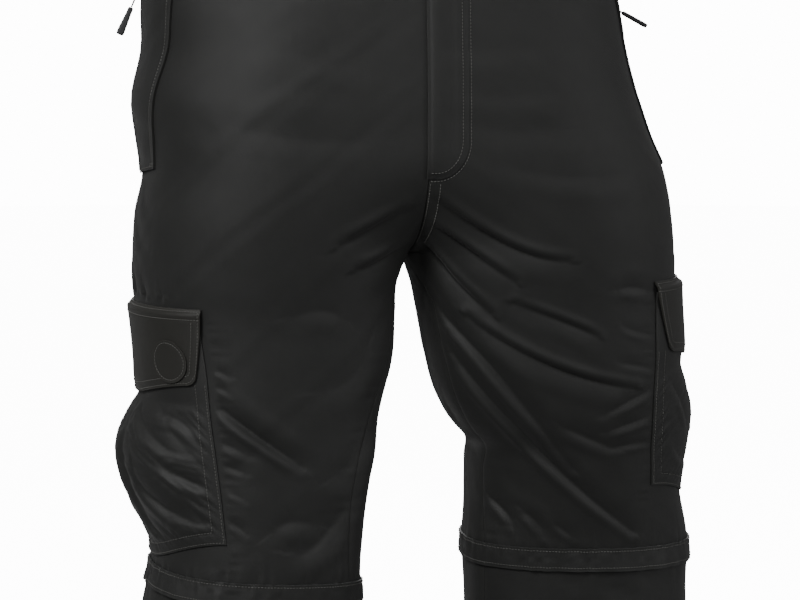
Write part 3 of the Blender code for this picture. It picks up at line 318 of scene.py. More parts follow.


# %% [markdown]
# ## Folds placed one by one
# Worn cloth isn't evenly wrinkled: on the wearer's left leg long folds run from the crotch to the outer knee,
# on the right leg one deep fold starts at the pocket's seam. Each fold is a curve through three places on the
# cloth. Across it, the cloth sinks softly from one side, turns at the line and rises steeply into a low roll,
# because the cloth below a diagonal fold is held and pushes up. At the crotch it is the other way round: there
# the cloth above hangs over the line, so those folds are kept in a table of their own.

# %% Folds of the leg cloth: side, then girth and height at start, middle and end, half width and depth in mm
LEG_FOLDS = (
    (RIGHT, 0.1020, -0.3671, 0.1378, -0.3956, 0.168, -0.419, 5.5, 3.4),
    (RIGHT, 0.1734, -0.3000, 0.2001, -0.2961, 0.216, -0.303, 9.0, 1.1),
    (RIGHT, 0.1412, -0.4699, 0.1567, -0.4635, 0.177, -0.467, 9.0, 1.5),
    (RIGHT, 0.2129, -0.4449, 0.1793, -0.4799, 0.1597, -0.4888, 11.0, 2.4),
    (RIGHT, 0.2350, -0.3300, 0.2150, -0.3520, 0.192, -0.360, 12.0, 1.2),
    (RIGHT, 0.2450, -0.3750, 0.2230, -0.4100, 0.199, -0.428, 12.0, 1.6),
    (RIGHT, 0.1060, -0.3420, 0.1110, -0.3440, 0.118, -0.347, 3.0, 0.8),
    (RIGHT, 0.1060, -0.3555, 0.1110, -0.3570, 0.117, -0.361, 2.6, 0.7),
    (RIGHT, 0.1070, -0.4000, 0.1150, -0.4030, 0.127, -0.410, 4.0, 1.1),
    (RIGHT, 0.1070, -0.4180, 0.1140, -0.4200, 0.124, -0.424, 3.5, 0.9),
    (RIGHT, 0.1070, -0.4390, 0.1130, -0.4400, 0.121, -0.445, 3.2, 0.7),
    (RIGHT, 0.1070, -0.4620, 0.1130, -0.4660, 0.120, -0.472, 3.5, 1.0),
    (RIGHT, 0.0100, -0.2900, 0.0090, -0.2800, 0.004, -0.271, 5.0, 1.8),
    (RIGHT, 0.0360, -0.2915, 0.0370, -0.2850, 0.034, -0.277, 4.5, 1.5),
    (RIGHT, 0.0620, -0.2925, 0.0640, -0.2870, 0.063, -0.281, 4.0, 1.2),
    (RIGHT, 0.1500, -0.0400, 0.1900, -0.0480, 0.235, -0.046, 9.0, 0.5),
    (RIGHT, 0.1550, -0.0900, 0.1950, -0.1020, 0.240, -0.108, 10.0, 0.6),
    (RIGHT, 0.1350, -0.1500, 0.1900, -0.1620, 0.240, -0.163, 10.0, 0.6),
    (RIGHT, 0.0150, -0.2050, 0.0300, -0.2170, 0.052, -0.222, 7.0, 1.1),
    (RIGHT, 0.0080, -0.2300, 0.0250, -0.2440, 0.050, -0.251, 7.0, 1.0),
    (RIGHT, -0.2700, -0.2760, -0.2050, -0.3040, -0.110, -0.316, 9.0, 3.0),
    (RIGHT, -0.2350, -0.3300, -0.1800, -0.3660, -0.105, -0.392, 10.0, 2.6),
    (RIGHT, -0.2150, -0.4520, -0.1650, -0.4700, -0.100, -0.462, 9.0, 3.2),
    (RIGHT, -0.2400, -0.2500, -0.1900, -0.2620, -0.140, -0.263, 8.0, 1.6),
    (RIGHT, -0.1600, -0.4200, -0.1250, -0.4300, -0.090, -0.424, 7.0, 1.3),
    (RIGHT, 0.1600, -0.9050, 0.0900, -0.9300, 0.015, -0.925, 11.0, 3.0),
    (RIGHT, -0.0200, -0.9750, -0.0800, -0.9900, -0.150, -0.978, 11.0, 2.8),
    (RIGHT, 0.1500, -0.6400, 0.0950, -0.6700, 0.020, -0.690, 12.0, 2.6),
    (RIGHT, 0.0200, -0.5600, 0.0550, -0.5750, 0.100, -0.572, 9.0, 1.8),
    (RIGHT, -0.0300, -0.7600, -0.0950, -0.7900, -0.150, -0.786, 12.0, 2.2),
    (LEFT, 0.2980, -0.2930, 0.2325, -0.3564, 0.1692, -0.4325, 5.5, 2.8),
    (LEFT, 0.2770, -0.3350, 0.2024, -0.4131, 0.1210, -0.4887, 5.2, 3.4),
    (LEFT, 0.1816, -0.3952, 0.1595, -0.4057, 0.1329, -0.4169, 5.5, 1.7),
    (LEFT, 0.1429, -0.4021, 0.1233, -0.3965, 0.1002, -0.3908, 4.0, 1.3),
    (LEFT, 0.1458, -0.3878, 0.1255, -0.3780, 0.1009, -0.3688, 4.0, 1.3),
    (LEFT, 0.1390, -0.4170, 0.1230, -0.4140, 0.1010, -0.4130, 3.5, 0.9),
    (LEFT, 0.1350, -0.3440, 0.1200, -0.3470, 0.1000, -0.3510, 3.5, 0.8),
    (LEFT, 0.1400, -0.2840, 0.1260, -0.2830, 0.1060, -0.2870, 5.0, 1.3),
    (LEFT, 0.1330, -0.3130, 0.1200, -0.3190, 0.1000, -0.3230, 3.5, 0.8),
    (LEFT, 0.2560, -0.4520, 0.2300, -0.4689, 0.2217, -0.4818, 5.0, 1.6),
    (LEFT, 0.2100, -0.4700, 0.2020, -0.4780, 0.1960, -0.4900, 4.5, 1.5),
    (LEFT, 0.1860, -0.4790, 0.1800, -0.4850, 0.1720, -0.4920, 4.0, 1.1),
    (LEFT, 0.2930, -0.3750, 0.2880, -0.3900, 0.2760, -0.4000, 6.0, 1.5),
    (LEFT, 0.2500, -0.1250, 0.2100, -0.1290, 0.1500, -0.1240, 10.0, 0.7),
    (LEFT, 0.2550, -0.0400, 0.2200, -0.0430, 0.1600, -0.0380, 10.0, 0.6),
    (LEFT, 0.2600, -0.0900, 0.2150, -0.0940, 0.1500, -0.0880, 10.0, 0.6),
    (LEFT, 0.2450, -0.1530, 0.2000, -0.1570, 0.1250, -0.1500, 11.0, 0.7),
    (LEFT, 0.2400, -0.1820, 0.1800, -0.1930, 0.1150, -0.1900, 10.0, 0.8),
    (LEFT, 0.0100, -0.2480, 0.0250, -0.2560, 0.0450, -0.2590, 6.0, 0.9),
    (LEFT, -0.2750, -0.2840, -0.2000, -0.3180, -0.1000, -0.3340, 9.0, 3.2),
    (LEFT, -0.2500, -0.3520, -0.1900, -0.3920, -0.1100, -0.4300, 10.0, 3.0),
    (LEFT, -0.2250, -0.4400, -0.1600, -0.4660, -0.0950, -0.4800, 9.0, 3.0),
    (LEFT, -0.2450, -0.2560, -0.1950, -0.2700, -0.1450, -0.2740, 8.0, 1.6),
    (LEFT, -0.1650, -0.3550, -0.1350, -0.3620, -0.0950, -0.3560, 7.0, 1.3),
    (LEFT, 0.1700, -0.9300, 0.1050, -0.9480, 0.0300, -0.9620, 11.0, 3.2),
    (LEFT, -0.0250, -0.9000, -0.0900, -0.9250, -0.1600, -0.9180, 11.0, 2.6),
    (LEFT, 0.1650, -0.6100, 0.1100, -0.6500, 0.0400, -0.6600, 12.0, 2.8),
    (LEFT, 0.1500, -0.5350, 0.1350, -0.5420, 0.1180, -0.5480, 5.0, 1.6),
    (LEFT, 0.1850, -0.5260, 0.1750, -0.5320, 0.1640, -0.5350, 4.0, 1.2),
    (LEFT, -0.0300, -0.7200, -0.0850, -0.7480, -0.1500, -0.7500, 12.0, 2.2),
)

# Folds whose upper side hangs over their line.
HANGING_FOLDS = (
    (RIGHT, 0.2720, -0.2190, 0.2472, -0.2330, 0.222, -0.245, 6.5, 2.6),
    (RIGHT, 0.2820, -0.2490, 0.2592, -0.2590, 0.236, -0.265, 6.0, 2.4),
    (LEFT, 0.3020, -0.2020, 0.2411, -0.2448, 0.1864, -0.2599, 5.0, 3.0),
    (LEFT, 0.3020, -0.2270, 0.2680, -0.2505, 0.2276, -0.2757, 4.6, 2.7),
    (LEFT, 0.3130, -0.2430, 0.2880, -0.2677, 0.2432, -0.3019, 5.0, 3.0),
    (LEFT, 0.3080, -0.2400, 0.2960, -0.2560, 0.2820, -0.2700, 3.6, 1.5),
    (LEFT, 0.2620, -0.3050, 0.1936, -0.3455, 0.1191, -0.3661, 5.0, 3.2),
    (LEFT, 0.2255, -0.2935, 0.1812, -0.3099, 0.1557, -0.3215, 4.2, 2.2),
)

# The same for the cloth of the cargo pockets, which is fuller and more crumpled.
POCKET_FOLDS = (
    (RIGHT, 0.0120, -0.3900, 0.0150, -0.4300, 0.0290, -0.4700, 8.0, 2.6),
    (RIGHT, 0.0260, -0.3800, 0.0460, -0.3950, 0.0690, -0.4080, 5.5, 2.2),
    (RIGHT, 0.0520, -0.4160, 0.0790, -0.4310, 0.1000, -0.4390, 5.0, 2.2),
    (RIGHT, 0.0300, -0.4260, 0.0450, -0.4480, 0.0840, -0.4640, 7.0, 2.8),
    (RIGHT, 0.0560, -0.3800, 0.0760, -0.3850, 0.0900, -0.3980, 4.5, 1.5),
    (RIGHT, 0.0180, -0.4560, 0.0360, -0.4760, 0.0600, -0.4820, 5.0, 1.6),
    (RIGHT, -0.0500, -0.3900, -0.0350, -0.4250, -0.0100, -0.4500, 8.0, 2.4),
    (RIGHT, -0.0600, -0.4300, -0.0420, -0.4600, -0.0150, -0.4750, 6.0, 2.0),
    (LEFT, 0.0780, -0.3630, 0.0600, -0.3800, 0.0450, -0.4080, 6.0, 1.6),
    (LEFT, 0.0300, -0.3700, 0.0180, -0.4000, 0.0200, -0.4380, 7.0, 1.8),
    (LEFT, 0.0700, -0.4200, 0.0520, -0.4330, 0.0300, -0.4370, 5.0, 1.3),
    (LEFT, -0.0500, -0.3750, -0.0380, -0.4080, -0.0150, -0.4350, 7.0, 1.8),
)


def fold_push(folds, side, girth, height, hanging=False):
    """How far the folds push the cloth out (positive) or in (negative).
    Above a fold's line the push is a wide bell downward; below it a narrow one, then a low roll outward.
    A hanging fold is the same turned over. Along the line it fades to nothing at both ends as a sine."""
    girth, height = np.broadcast_arrays(girth, height)
    total = np.zeros(girth.shape)
    t = np.linspace(0, 1, 13)
    for row in folds:
        if row[0] != side:
            continue
        g, z = np.array(row[1:7:2]), np.array(row[2:7:2])
        width, depth = row[7] / 1000, row[8] / 1000
        near = (girth > g.min() - 5 * width) & (girth < g.max() + 5 * width)
        near &= (height > z.min() - 5 * width) & (height < z.max() + 5 * width)
        if not near.any():
            continue
        weights = ((1 - t) * (1 - 2 * t), 4 * t * (1 - t), t * (2 * t - 1))
        line_g = sum(weight * value for weight, value in zip(weights, g))
        line_z = sum(weight * value for weight, value in zip(weights, z))
        dg, dz = np.diff(line_g), np.diff(line_z)
        u = girth[near][:, None] - line_g[:-1]
        v = height[near][:, None] - line_z[:-1]
        part = np.clip((u * dg + v * dz) / (dg * dg + dz * dz), 0, 1)
        away = np.hypot(u - part * dg, v - part * dz)
        k = away.argmin(axis=1)
        rows = np.arange(len(k))
        along = (k + part[rows, k]) / 12
        above = np.sign(dg[k]) * (dg[k] * v[rows, k] - dz[k] * u[rows, k])
        s = np.where((above >= 0) != hanging, 1, -1) * away[rows, k] / width
        valley = 0.72 * np.exp(-np.where(s > 0, s / 1.35, s / 0.50) ** 2)
        valley += 0.34 * np.exp(-np.where(s > 0, s / 0.42, s / 0.26) ** 2)
        roll = 0.58 * np.exp(-((s + 1.25) / 0.72) ** 2) + 0.16 * np.exp(-((s - 2.8) / 1.2) ** 2)
        fade = np.sin(math.pi * np.clip(along, 0.05, 0.95)) ** 0.6
        fade *= np.exp(-np.clip(away[rows, k] / width - 3.4, 0, None) ** 2)
        total[near] += depth * fade * (roll - valley)
    return total


# %% [markdown]
# ## Puckers beside the seams
# A sewn seam is a little shorter than its cloth, so small ripples stand across it and die out within a
# finger's width. They are two sine waves of unlike length multiplied together, which never looks regular.

# %% Ripples and soft unevenness
def ripple(along, length, seed):
    """Uneven wave of about that length: a sine whose height is changed by slower sines."""
    turn = 2 * math.pi * along / length
    slow = 0.55 + 0.45 * np.sin(turn / 3.7 + 1.9 * seed) * np.sin(turn / 8.3 + 0.7 * seed)
    return np.sin(turn + 1.3 * np.sin(turn / 2.3 + seed) + seed) * slow


def softness(girth, height, seed):
    """Gentle unevenness of worn cloth, a few tenths of a millimetre."""
    a = ripple(girth + 0.35 * height, 0.083, seed)
    b = ripple(height - 0.25 * girth, 0.061, seed + 2.0)
    c = ripple(0.8 * girth - height, 0.034, seed + 4.0)
    return 0.00045 * a * b + 0.00016 * c


def leg_folds(side, girth, height):
    return fold_push(LEG_FOLDS, side, girth, height) + fold_push(HANGING_FOLDS, side, girth, height, hanging=True)


def leg_push(side, half, girth, height, from_seam, to_side):
    """Everything that moves the leg's cloth off the smooth surface."""
    seed = 1.0 + side + 0.5 * half
    push = leg_folds(side, girth, height) + softness(girth, height, seed)
    size = POCKET[side]
    seam_line = girth - size["front"]
    beside = (height < size["top"]) & (height > size["low_back"] - 0.004)
    push += np.where(beside, 0.00045 * np.exp(-np.abs(seam_line) / 0.007) * ripple(height, 0.0088, 3.0 + side), 0)
    above_band = height - knee_height(side, 1 - np.abs(girth) / 0.31, 0)
    gather = np.exp(-np.clip(above_band, 0, None) / 0.010) * (above_band > -0.003)
    push += 0.0006 * gather * ripple(girth, 0.0135, 5.0 + side) * np.where(half == FRONT, 1.0, 0.8)
    below_band = -above_band - BAND_HEIGHT
    slack = np.exp(-np.clip(below_band, 0, None) / 0.016) * (below_band > -0.01)
    push += 0.0007 * slack * ripple(girth, 0.019, 7.0 + side)
    inseam = np.where(height < CROTCH, 0.0005, 0.0002)
    push += inseam * np.exp(-from_seam / 0.010) * ripple(height, 0.013, 2.0 + side)
    push += 0.0003 * np.exp(-to_side / 0.009) * ripple(height, 0.015, 6.0 + side)
    keep = 0.35 + 0.65 * smooth_step(from_seam, 0.0, 0.012)
    keep = np.where(height > CROTCH, smooth_step(from_seam, 0.0, 0.014), keep)
    past_pocket = np.maximum(np.maximum(girth - size["front"], size["back"] - girth), 0)
    past_ends = np.maximum(np.maximum(height - FLAP[side]["top"], size["low_back"] - height), 0)
    push *= keep * smooth_step(np.hypot(past_pocket, past_ends), 0.0, 0.006)
    if half == FRONT:
        low_rise = smooth_step(-height, 0.186, 0.194) * smooth_step(height, CROTCH + 0.004, CROTCH + 0.016)
        crimp = ripple(height - 0.4 * from_seam, 0.0046, 1.0) * smooth_step(from_seam, 0.0004, 0.002)
        push += 0.00055 * low_rise * crimp * np.exp(-(from_seam / 0.0095) ** 4) * (0.35 if side == RIGHT else 1.0)
    groove = np.exp(-(from_seam / 0.0013) ** 2) + np.exp(-(to_side / 0.0013) ** 2)
    return push - 0.0005 * groove


def cloth(side, half, share, height, lift):
    """Point of the leg's outer face, moved out along the normal by lift."""
    share, height, lift = np.broadcast_arrays(share, height, lift)
    length = half_girth(side, half, height)
    girth = -half * (1 - share) * length
    from_seam = np.abs(share * length + half * inseam_shift(side, height))
    push = leg_push(side, half, girth, height, from_seam, (1 - share) * length)
    point, normal = skin(side, half, share, height)
    point = point + normal * (push + lift)[..., None]
    point[..., 0] = side * np.maximum(side * point[..., 0], SEAM)
    return point


def laid_on(side, girth, height, lift):
    """Point above the leg's cloth at a girth ahead of the side seam (negative behind it)."""
    girth, height, lift = np.broadcast_arrays(girth, height, lift)
    ahead = cloth(side, FRONT, np.clip(1 - girth / half_girth(side, FRONT, height), 0, 1), height, lift)
    behind = cloth(side, BACK, np.clip(1 + girth / half_girth(side, BACK, height), 0, 1), height, lift)
    return np.where((girth >= 0)[..., None], ahead, behind)


def by_middle(offset, height, lift):
    """Point above the front at a distance from the middle seam, positive on the wearer's left."""
    offset, height, lift = np.broadcast_arrays(offset, height, lift)
    points = {}
    for side in (RIGHT, LEFT):
        share = np.clip(side * offset / half_girth(side, FRONT, height), 0, 1)
        points[side] = cloth(side, FRONT, share, height, lift)
        points[side][..., 0] = np.where(np.abs(offset) < 2e-4, 0, points[side][..., 0])
    return np.where((offset >= 0)[..., None], points[LEFT], points[RIGHT])


# %% [markdown]
# ## Shader sums that read as sums
# A material is a small program of nodes. One class wraps a socket so that plus, minus and times add their
# Math nodes, and another holds a material and adds any other node by its type, settings and inputs.

# %% Material helpers
class Wire:
    """One output socket. Sums of wires and numbers add Math nodes."""

    def __init__(self, finish, socket):
        self.finish = finish
        self.socket = socket

    def __add__(self, other):
        return self.finish.sum_of("ADD", self, other)

    __radd__ = __add__

    def __sub__(self, other):
        return self.finish.sum_of("SUBTRACT", self, other)

    def __rsub__(self, other):
        return self.finish.sum_of("SUBTRACT", other, self)

    def __mul__(self, other):
        return self.finish.sum_of("MULTIPLY", self, other)

    __rmul__ = __mul__

    def sine(self):
        return self.finish.sum_of("SINE", self)

    def above(self, low, high):
        """0 below low, 1 above high."""
        words = {"Value": self, "From Min": low, "From Max": high}
        return self.finish.node("ShaderNodeMapRange", {"interpolation_type": "SMOOTHSTEP"}, words, "Result")


class Finish:
    """A procedural material. Constants are set on the shader itself."""

    def __init__(self, name, constants):
        self.material = bpy.data.materials.new(name)
        self.material.use_nodes = True
        self.tree = self.material.node_tree
        self.shader = self.tree.nodes["Principled BSDF"]
        for word, value in constants.items():
            self.shader.inputs[word].default_value = value

    def feed(self, socket, value):
        if isinstance(value, Wire):
            self.tree.links.new(value.socket, socket)
        else:
            socket.default_value = value

    def node(self, kind, settings, words, output=0):
        made = self.tree.nodes.new(kind)
        for word, value in settings.items():
            setattr(made, word, value)
        for word, value in words.items():
            self.feed(made.inputs[word], value)
        return Wire(self, made.outputs[output])

    def sum_of(self, operation, *values):
        made = self.tree.nodes.new("ShaderNodeMath")
        made.operation = operation
        for k, value in enumerate(values):
            self.feed(made.inputs[k], value)
        return Wire(self, made.outputs[0])

    def noise(self, place, scale, detail=3.0, rough=0.55):
        words = {"Vector": place, "Scale": scale, "Detail": detail, "Roughness": rough}
        return self.node("ShaderNodeTexNoise", {}, words, "Fac")

    def colour_mix(self, factor, low, high):
        made = self.tree.nodes.new("ShaderNodeMix")
        made.data_type = "RGBA"
        colours = [socket for socket in made.inputs if socket.type == "RGBA"]
        self.feed(made.inputs[0], factor)
        self.feed(colours[0], low)
        self.feed(colours[1], high)
        return Wire(self, [socket for socket in made.outputs if socket.type == "RGBA"][0])

    def on_piece(self, kind="Object"):
        return self.node("ShaderNodeTexCoord", {}, {}, kind)

    def paint(self, colour, roughness, height, distance, strength=1.0):
        words = {"Height": height, "Distance": distance, "Strength": strength}
        self.feed(self.shader.inputs["Base Color"], colour)
        self.feed(self.shader.inputs["Roughness"], roughness)
        self.feed(self.shader.inputs["Normal"], self.node("ShaderNodeBump", {}, words, "Normal"))
        return self.material


# %% [markdown]
# ## Cloth finishes
# The leg cloth is a thin matt synthetic in a plain weave, nearly black and slightly warm, with a faint sheen
# where the light grazes it. Warp and weft are two crossed sine waves along the piece's own map, which is laid
# out in metres of cloth, so the threads follow the garment round. Larger noise gives the slight cloudiness.

# %% Cloth materials
def woven(name, dark, light, thread, bump, sheen):
    constants = {"Sheen Weight": sheen, "Sheen Roughness": 0.45, "Specular IOR Level": 0.5}
    finish = Finish(name, constants)
    place = finish.node("ShaderNodeUVMap", {"uv_map": "cloth"}, {}, "UV")
    split = finish.node("ShaderNodeSeparateXYZ", {}, {"Vector": place}, "X")
    across = split
    upward = Wire(finish, split.socket.node.outputs["Y"])
    turns = 2 * math.pi / thread
    weave = (across * turns).sine() * (upward * turns).sine()
    cloud = finish.noise(place, 38.0, 4.0, 0.6)
    grain = finish.noise(place, 900.0, 2.0, 0.7)
    # The stored lightness pales worn edges, and paints a highlight on the raised rolls of folds and crumples.
    wear_and_highlight = finish.node("ShaderNodeAttribute", {"attribute_name": "wear_and_highlight"}, {}, "Fac")
    tone = (cloud.above(0.3, 0.7) * 0.14 + grain * 0.42 + weave * 0.08 + wear_and_highlight * 0.50).above(0.0, 1.2)
    colour = finish.colour_mix(tone, dark, light)
    height = weave * 0.5 + grain * 0.8
    return finish.paint(colour, 0.60 - wear_and_highlight * 0.06 - cloud * 0.06, height, bump, 0.6)


leg_cloth = woven("leg_cloth", (0.0125, 0.0128, 0.0120, 1), (0.0290, 0.0295, 0.0275, 1), 0.0006, 0.00012, 0.10)
flap_cloth = woven("flap_cloth", (0.0150, 0.0145, 0.0120, 1), (0.0350, 0.0335, 0.0285, 1), 0.0009, 0.00016, 0.10)

# %% [markdown]
# ## One way to make a piece
# A cloth piece is two grids of points, its outer and inner face, joined by rims into one closed wall. The
# map in metres of cloth and a lightness for each point are stored on the mesh for the material to read: wear
# along sewn edges, and on the leg panels and pockets also a painted highlight on the raised rolls of folds.

# %% Mesh helpers
TROUSERS = "trousers"


def finished(name, mesh, material, body, stands_for):
    mesh.polygons.foreach_set("use_smooth", np.ones(len(mesh.polygons), bool))
    mesh.set_sharp_from_angle(angle=math.radians(48))
    mesh.update()
    piece = bpy.data.objects.new(name, mesh)
    bpy.context.scene.collection.objects.link(piece)
    mesh.materials.append(material)
    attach(piece, body)
    if stands_for:
        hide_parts(*stands_for)
    return piece


def wall_faces(rows, columns, closed, rim_rows=(0, -1)):
    """Four-sided faces of a closed wall: the outer grid, the inner grid turned round, and the rims."""
    spans = columns if closed else columns - 1
    r, c = np.meshgrid(np.arange(rows - 1), np.arange(spans), indexing="ij")
    d = (c + 1) % columns
    quads = np.stack([r * columns + c, r * columns + d, (r + 1) * columns + d, (r + 1) * columns + c], axis=-1)
    outer = quads.reshape(-1, 4)
    inner = outer[:, ::-1] + rows * columns
    rims = []
    c = np.arange(spans)
    d = (c + 1) % columns
    for row, turn in ((0, 1), (rows - 1, -1)):
        if row == 0 and 0 not in rim_rows:
            continue
        a, b = row * columns + c, row * columns + d
        rims.append(np.stack([a + rows * columns, b + rows * columns, b, a], axis=-1)[:, ::turn])
    if not closed:
        r = np.arange(rows - 1)
        for column, turn in ((0, 1), (columns - 1, -1)):
            a, b = r * columns + column, (r + 1) * columns + column
            rims.append(np.stack([a, b, b + rows * columns, a + rows * columns], axis=-1)[:, ::turn])
    return np.concatenate([outer, inner] + rims)


def mesh_from(name, points, quads):
    """Mesh of four-sided faces, turned so that its enclosed volume counts as positive."""
    corner = points[quads]
    first = np.einsum("ij,ij->i", corner[:, 0], np.cross(corner[:, 1], corner[:, 2]))
    second = np.einsum("ij,ij->i", corner[:, 0], np.cross(corner[:, 2], corner[:, 3]))
    if first.sum() + second.sum() < 0:
        quads = quads[:, ::-1]
    mesh = bpy.data.meshes.new(name)
    mesh.vertices.add(len(points))
    mesh.vertices.foreach_set("co", points.astype(np.float32).ravel())
    mesh.loops.add(quads.size)
    mesh.loops.foreach_set("vertex_index", quads.astype(np.int32).ravel())
    mesh.polygons.add(len(quads))
    mesh.polygons.foreach_set("loop_start", np.arange(0, quads.size, 4, dtype=np.int32))
    mesh.update(calc_edges=True)
    return mesh, quads


def fill_middle(mesh):
    """Closes the two small holes at the middle of a disc."""
    shell = bmesh.new()
    shell.from_mesh(mesh)
    bmesh.ops.holes_fill(shell, edges=[edge for edge in shell.edges if edge.is_boundary], sides=0)
    shell.to_mesh(mesh)
    shell.free()


def cloth_piece(name, outer, inner, map_u, map_v, wear_and_highlight, material, stands_for, closed=False, disc=False):
    rows, columns = outer.shape[:2]
    points = np.concatenate([outer.reshape(-1, 3), inner.reshape(-1, 3)])
    mesh, quads = mesh_from(name, points, wall_faces(rows, columns, closed, (-1,) if disc else (0, -1)))
    place = np.stack([np.broadcast_to(map_u, (rows, columns)), np.broadcast_to(map_v, (rows, columns))], axis=-1)
    place = np.tile(place.reshape(-1, 2), (2, 1))
    layer = mesh.uv_layers.new(name="cloth")
    layer.data.foreach_set("uv", place[quads.ravel()].astype(np.float32).ravel())
    # Lightness of each point: wear at sewn edges, plus painted highlight on fold rolls of panels and pockets.
    worn = mesh.attributes.new("wear_and_highlight", "FLOAT", "POINT")
    values = np.tile(np.broadcast_to(wear_and_highlight, (rows, columns)).ravel(), 2)
    worn.data.foreach_set("value", values.astype(np.float32))
    if disc:
        fill_middle(mesh)
    piece = finished(name, mesh, material, TROUSERS, stands_for)
    print(name, len(mesh.polygons) * 2, "triangles")
    return piece


# %% [markdown]
# ## The leg panels
# A leg is cut from a front and a back panel, joined at the side seam and the inseam. They are the largest
# faces in the picture, so their grid is about one and a half millimetres where the folds are.

# %% Leg panels
def share_at_knee(side, half, line):
    """Share of the half ring's girth where a panel's column meets the knee zip."""
    knee = KNEE_TOP[side]
    length = half_girth(side, half, knee)
    start = -half * inseam_shift(side, knee)
    away = start + line * (length - start)
    return np.where(away >= 0, away / length, -away / half_girth(side, -half, knee))


def panel_width(side, half, height):
    """Length of cloth across a panel at one height, and how far from the middle line it starts."""
    start = -half * inseam_shift(side, height)
    return half_girth(side, half, height) - start - 2 * SEAM, start


def panel_piece(name, side, half, line, height):
    """Line 0 is the inseam, where the back panel reaches round onto the front half. Line 1 is the side seam.
    The panel narrows fast above the crotch. Only the lines near its inner edge follow that, and the others keep
    to the mean width of the heights around, so that the mesh isn't sheared across the folds."""
    length = half_girth(side, half, height)
    width, start = panel_width(side, half, height)
    moves = np.linspace(-SMOOTH_REACH, SMOOTH_REACH, 25)
    steady = sum(panel_width(side, half, height + move)[0] for move in moves) / len(moves)
    away = length - SEAM - (1 - line) * steady - (1 - line) ** 8 * (width - steady)
    share = np.clip(away / length, 0, 1)
    share_across = np.clip(-away / half_girth(side, -half, height), 0, 1)
    own_side = (away >= 0)[..., None]
    walls = []
    for lift in (0.0, -CLOTH):
        own, across = cloth(side, half, share, height, lift), cloth(side, -half, share_across, height, lift)
        walls.append(np.where(own_side, own, across))
    girth = -half * (length - away)
    edge = np.exp(-(away - start) / 0.0015) + np.exp(-(length - away) / 0.0015)
    # Paler at the seam edges for wear, and along the outward rolls of the folds as a painted highlight.
    roll = np.clip(leg_folds(side, girth, height) / 0.0012, 0, 1)
    wear_and_highlight = np.clip(0.6 * edge + 0.25 * roll, 0, 1)
    return cloth_piece(name, walls[0], walls[1], girth, height, wear_and_highlight, leg_cloth, [name])


def upper_panel(side, half, columns, rows_up, rows_down):
    """Rows run level at the side seam and crowd towards the crotch at the middle seam, as in the CAD model."""
    line = np.linspace(0, 1, columns)[None, :]
    climb = np.linspace(1, 0, rows_up)[:, None]
    weight = (1 - line) ** 1.5
    upper = CROTCH + (WAIST_LOW - 2 * SEAM - CROTCH) * ((1 - weight) * climb + weight * climb ** 2)
    fall = np.linspace(0, 1, rows_down + 1)[1:, None]
    lower = CROTCH + (knee_height(side, share_at_knee(side, half, line), ZIP_START) - CROTCH) * fall
    height = np.concatenate([upper, lower])
    return panel_piece(f"{HALF_WORD[half]}_{SIDE_WORD[side]}", side, half, line + 0 * height, height)


def lower_panel(side, half, columns, rows):
    """From the knee zip down to the hem."""
    line = np.linspace(0, 1, columns)[None, :]
    top = knee_height(side, share_at_knee(side, half, line), ZIP_END + 2 * SEAM)
    height = top + (HEM - top) * np.linspace(0, 1, rows)[:, None]
    return panel_piece(f"lower_{HALF_WORD[half]}_{SIDE_WORD[side]}", side, half, line + 0 * height, height)


panels = {}
for side in (RIGHT, LEFT):
    panels[side, "front"] = upper_panel(side, FRONT, 196, 76, 158)
    panels[side, "back"] = upper_panel(side, BACK, 110, 70, 96)
    panels[side, "lower_front"] = lower_panel(side, FRONT, 60, 84)
    panels[side, "lower_back"] = lower_panel(side, BACK, 60, 84)

# %% [markdown]
# ## Cargo pockets and flaps
# The pocket is a bag of cloth that stands off the leg, pinched at its mouth and hemmed round its edge. The
# flap is a doubled piece of heavier, browner cloth, sewn down in a strip along its top.


# %% Cargo pockets
def pocket_front(side, height):
    """Girth of the pocket's front edge, which leans back towards its top."""
    size = POCKET[side]
    drop = np.clip((size["top"] - height) / (size["top"] - size["low_front"]), 0, 1)
    return size["front_top"] + (size["front"] - size["front_top"]) * drop


def pocket_lift(side, girth, height):
    """How far the bag stands off: a skewed half sine across it, times a hump from its bottom to its mouth."""
    size = POCKET[side]
    across = np.clip((girth - size["back"]) / (pocket_front(side, height) - size["back"]), 0, 1)
    swell = np.sin(math.pi * across ** 0.72) ** 1.1
    below = np.clip((height - size["bulge_low"]) / (size["peak"] - size["bulge_low"]), 0, 1)
    above = np.clip((size["bulge_top"] - height) / (size["bulge_top"] - size["peak"]), 0, 1)
    hump = np.sin(math.pi / 2 * below) ** 1.2 * np.sin(math.pi / 2 * above) ** 1.1
    mouth = 0.0022 * smooth_step(height, size["bulge_top"] - 0.004, size["bulge_top"] + 0.02)
    return 0.00075 + size["bulge"] * swell * hump + mouth * np.sin(math.pi * across) ** 0.5


def pocket_low(side, girth):
    """Lower edge of the pocket."""
    size = POCKET[side]
    return size["low_back"] + (size["low_front"] - size["low_back"]) * smooth_step(girth, 0.01, size["front"])


def crumple(girth, height, seed):
    """Small sharp wrinkles: waves folded over at zero, so that each crest is soft and each valley a line."""
    bend = 0.006 * np.sin(2 * math.pi * (girth + height) / 0.052 + seed)
    first = np.abs(ripple(height + 0.55 * girth + bend, 0.034, seed))
    second = np.abs(ripple(height - 0.30 * girth - bend, 0.023, seed + 2.4))
    third = np.abs(ripple(girth + 0.8 * height + bend, 0.047, seed + 4.1))
    return 0.0011 * (first ** 0.7 - 0.5) + 0.0006 * (second ** 0.7 - 0.5) + 0.0009 * (third ** 0.7 - 0.5)


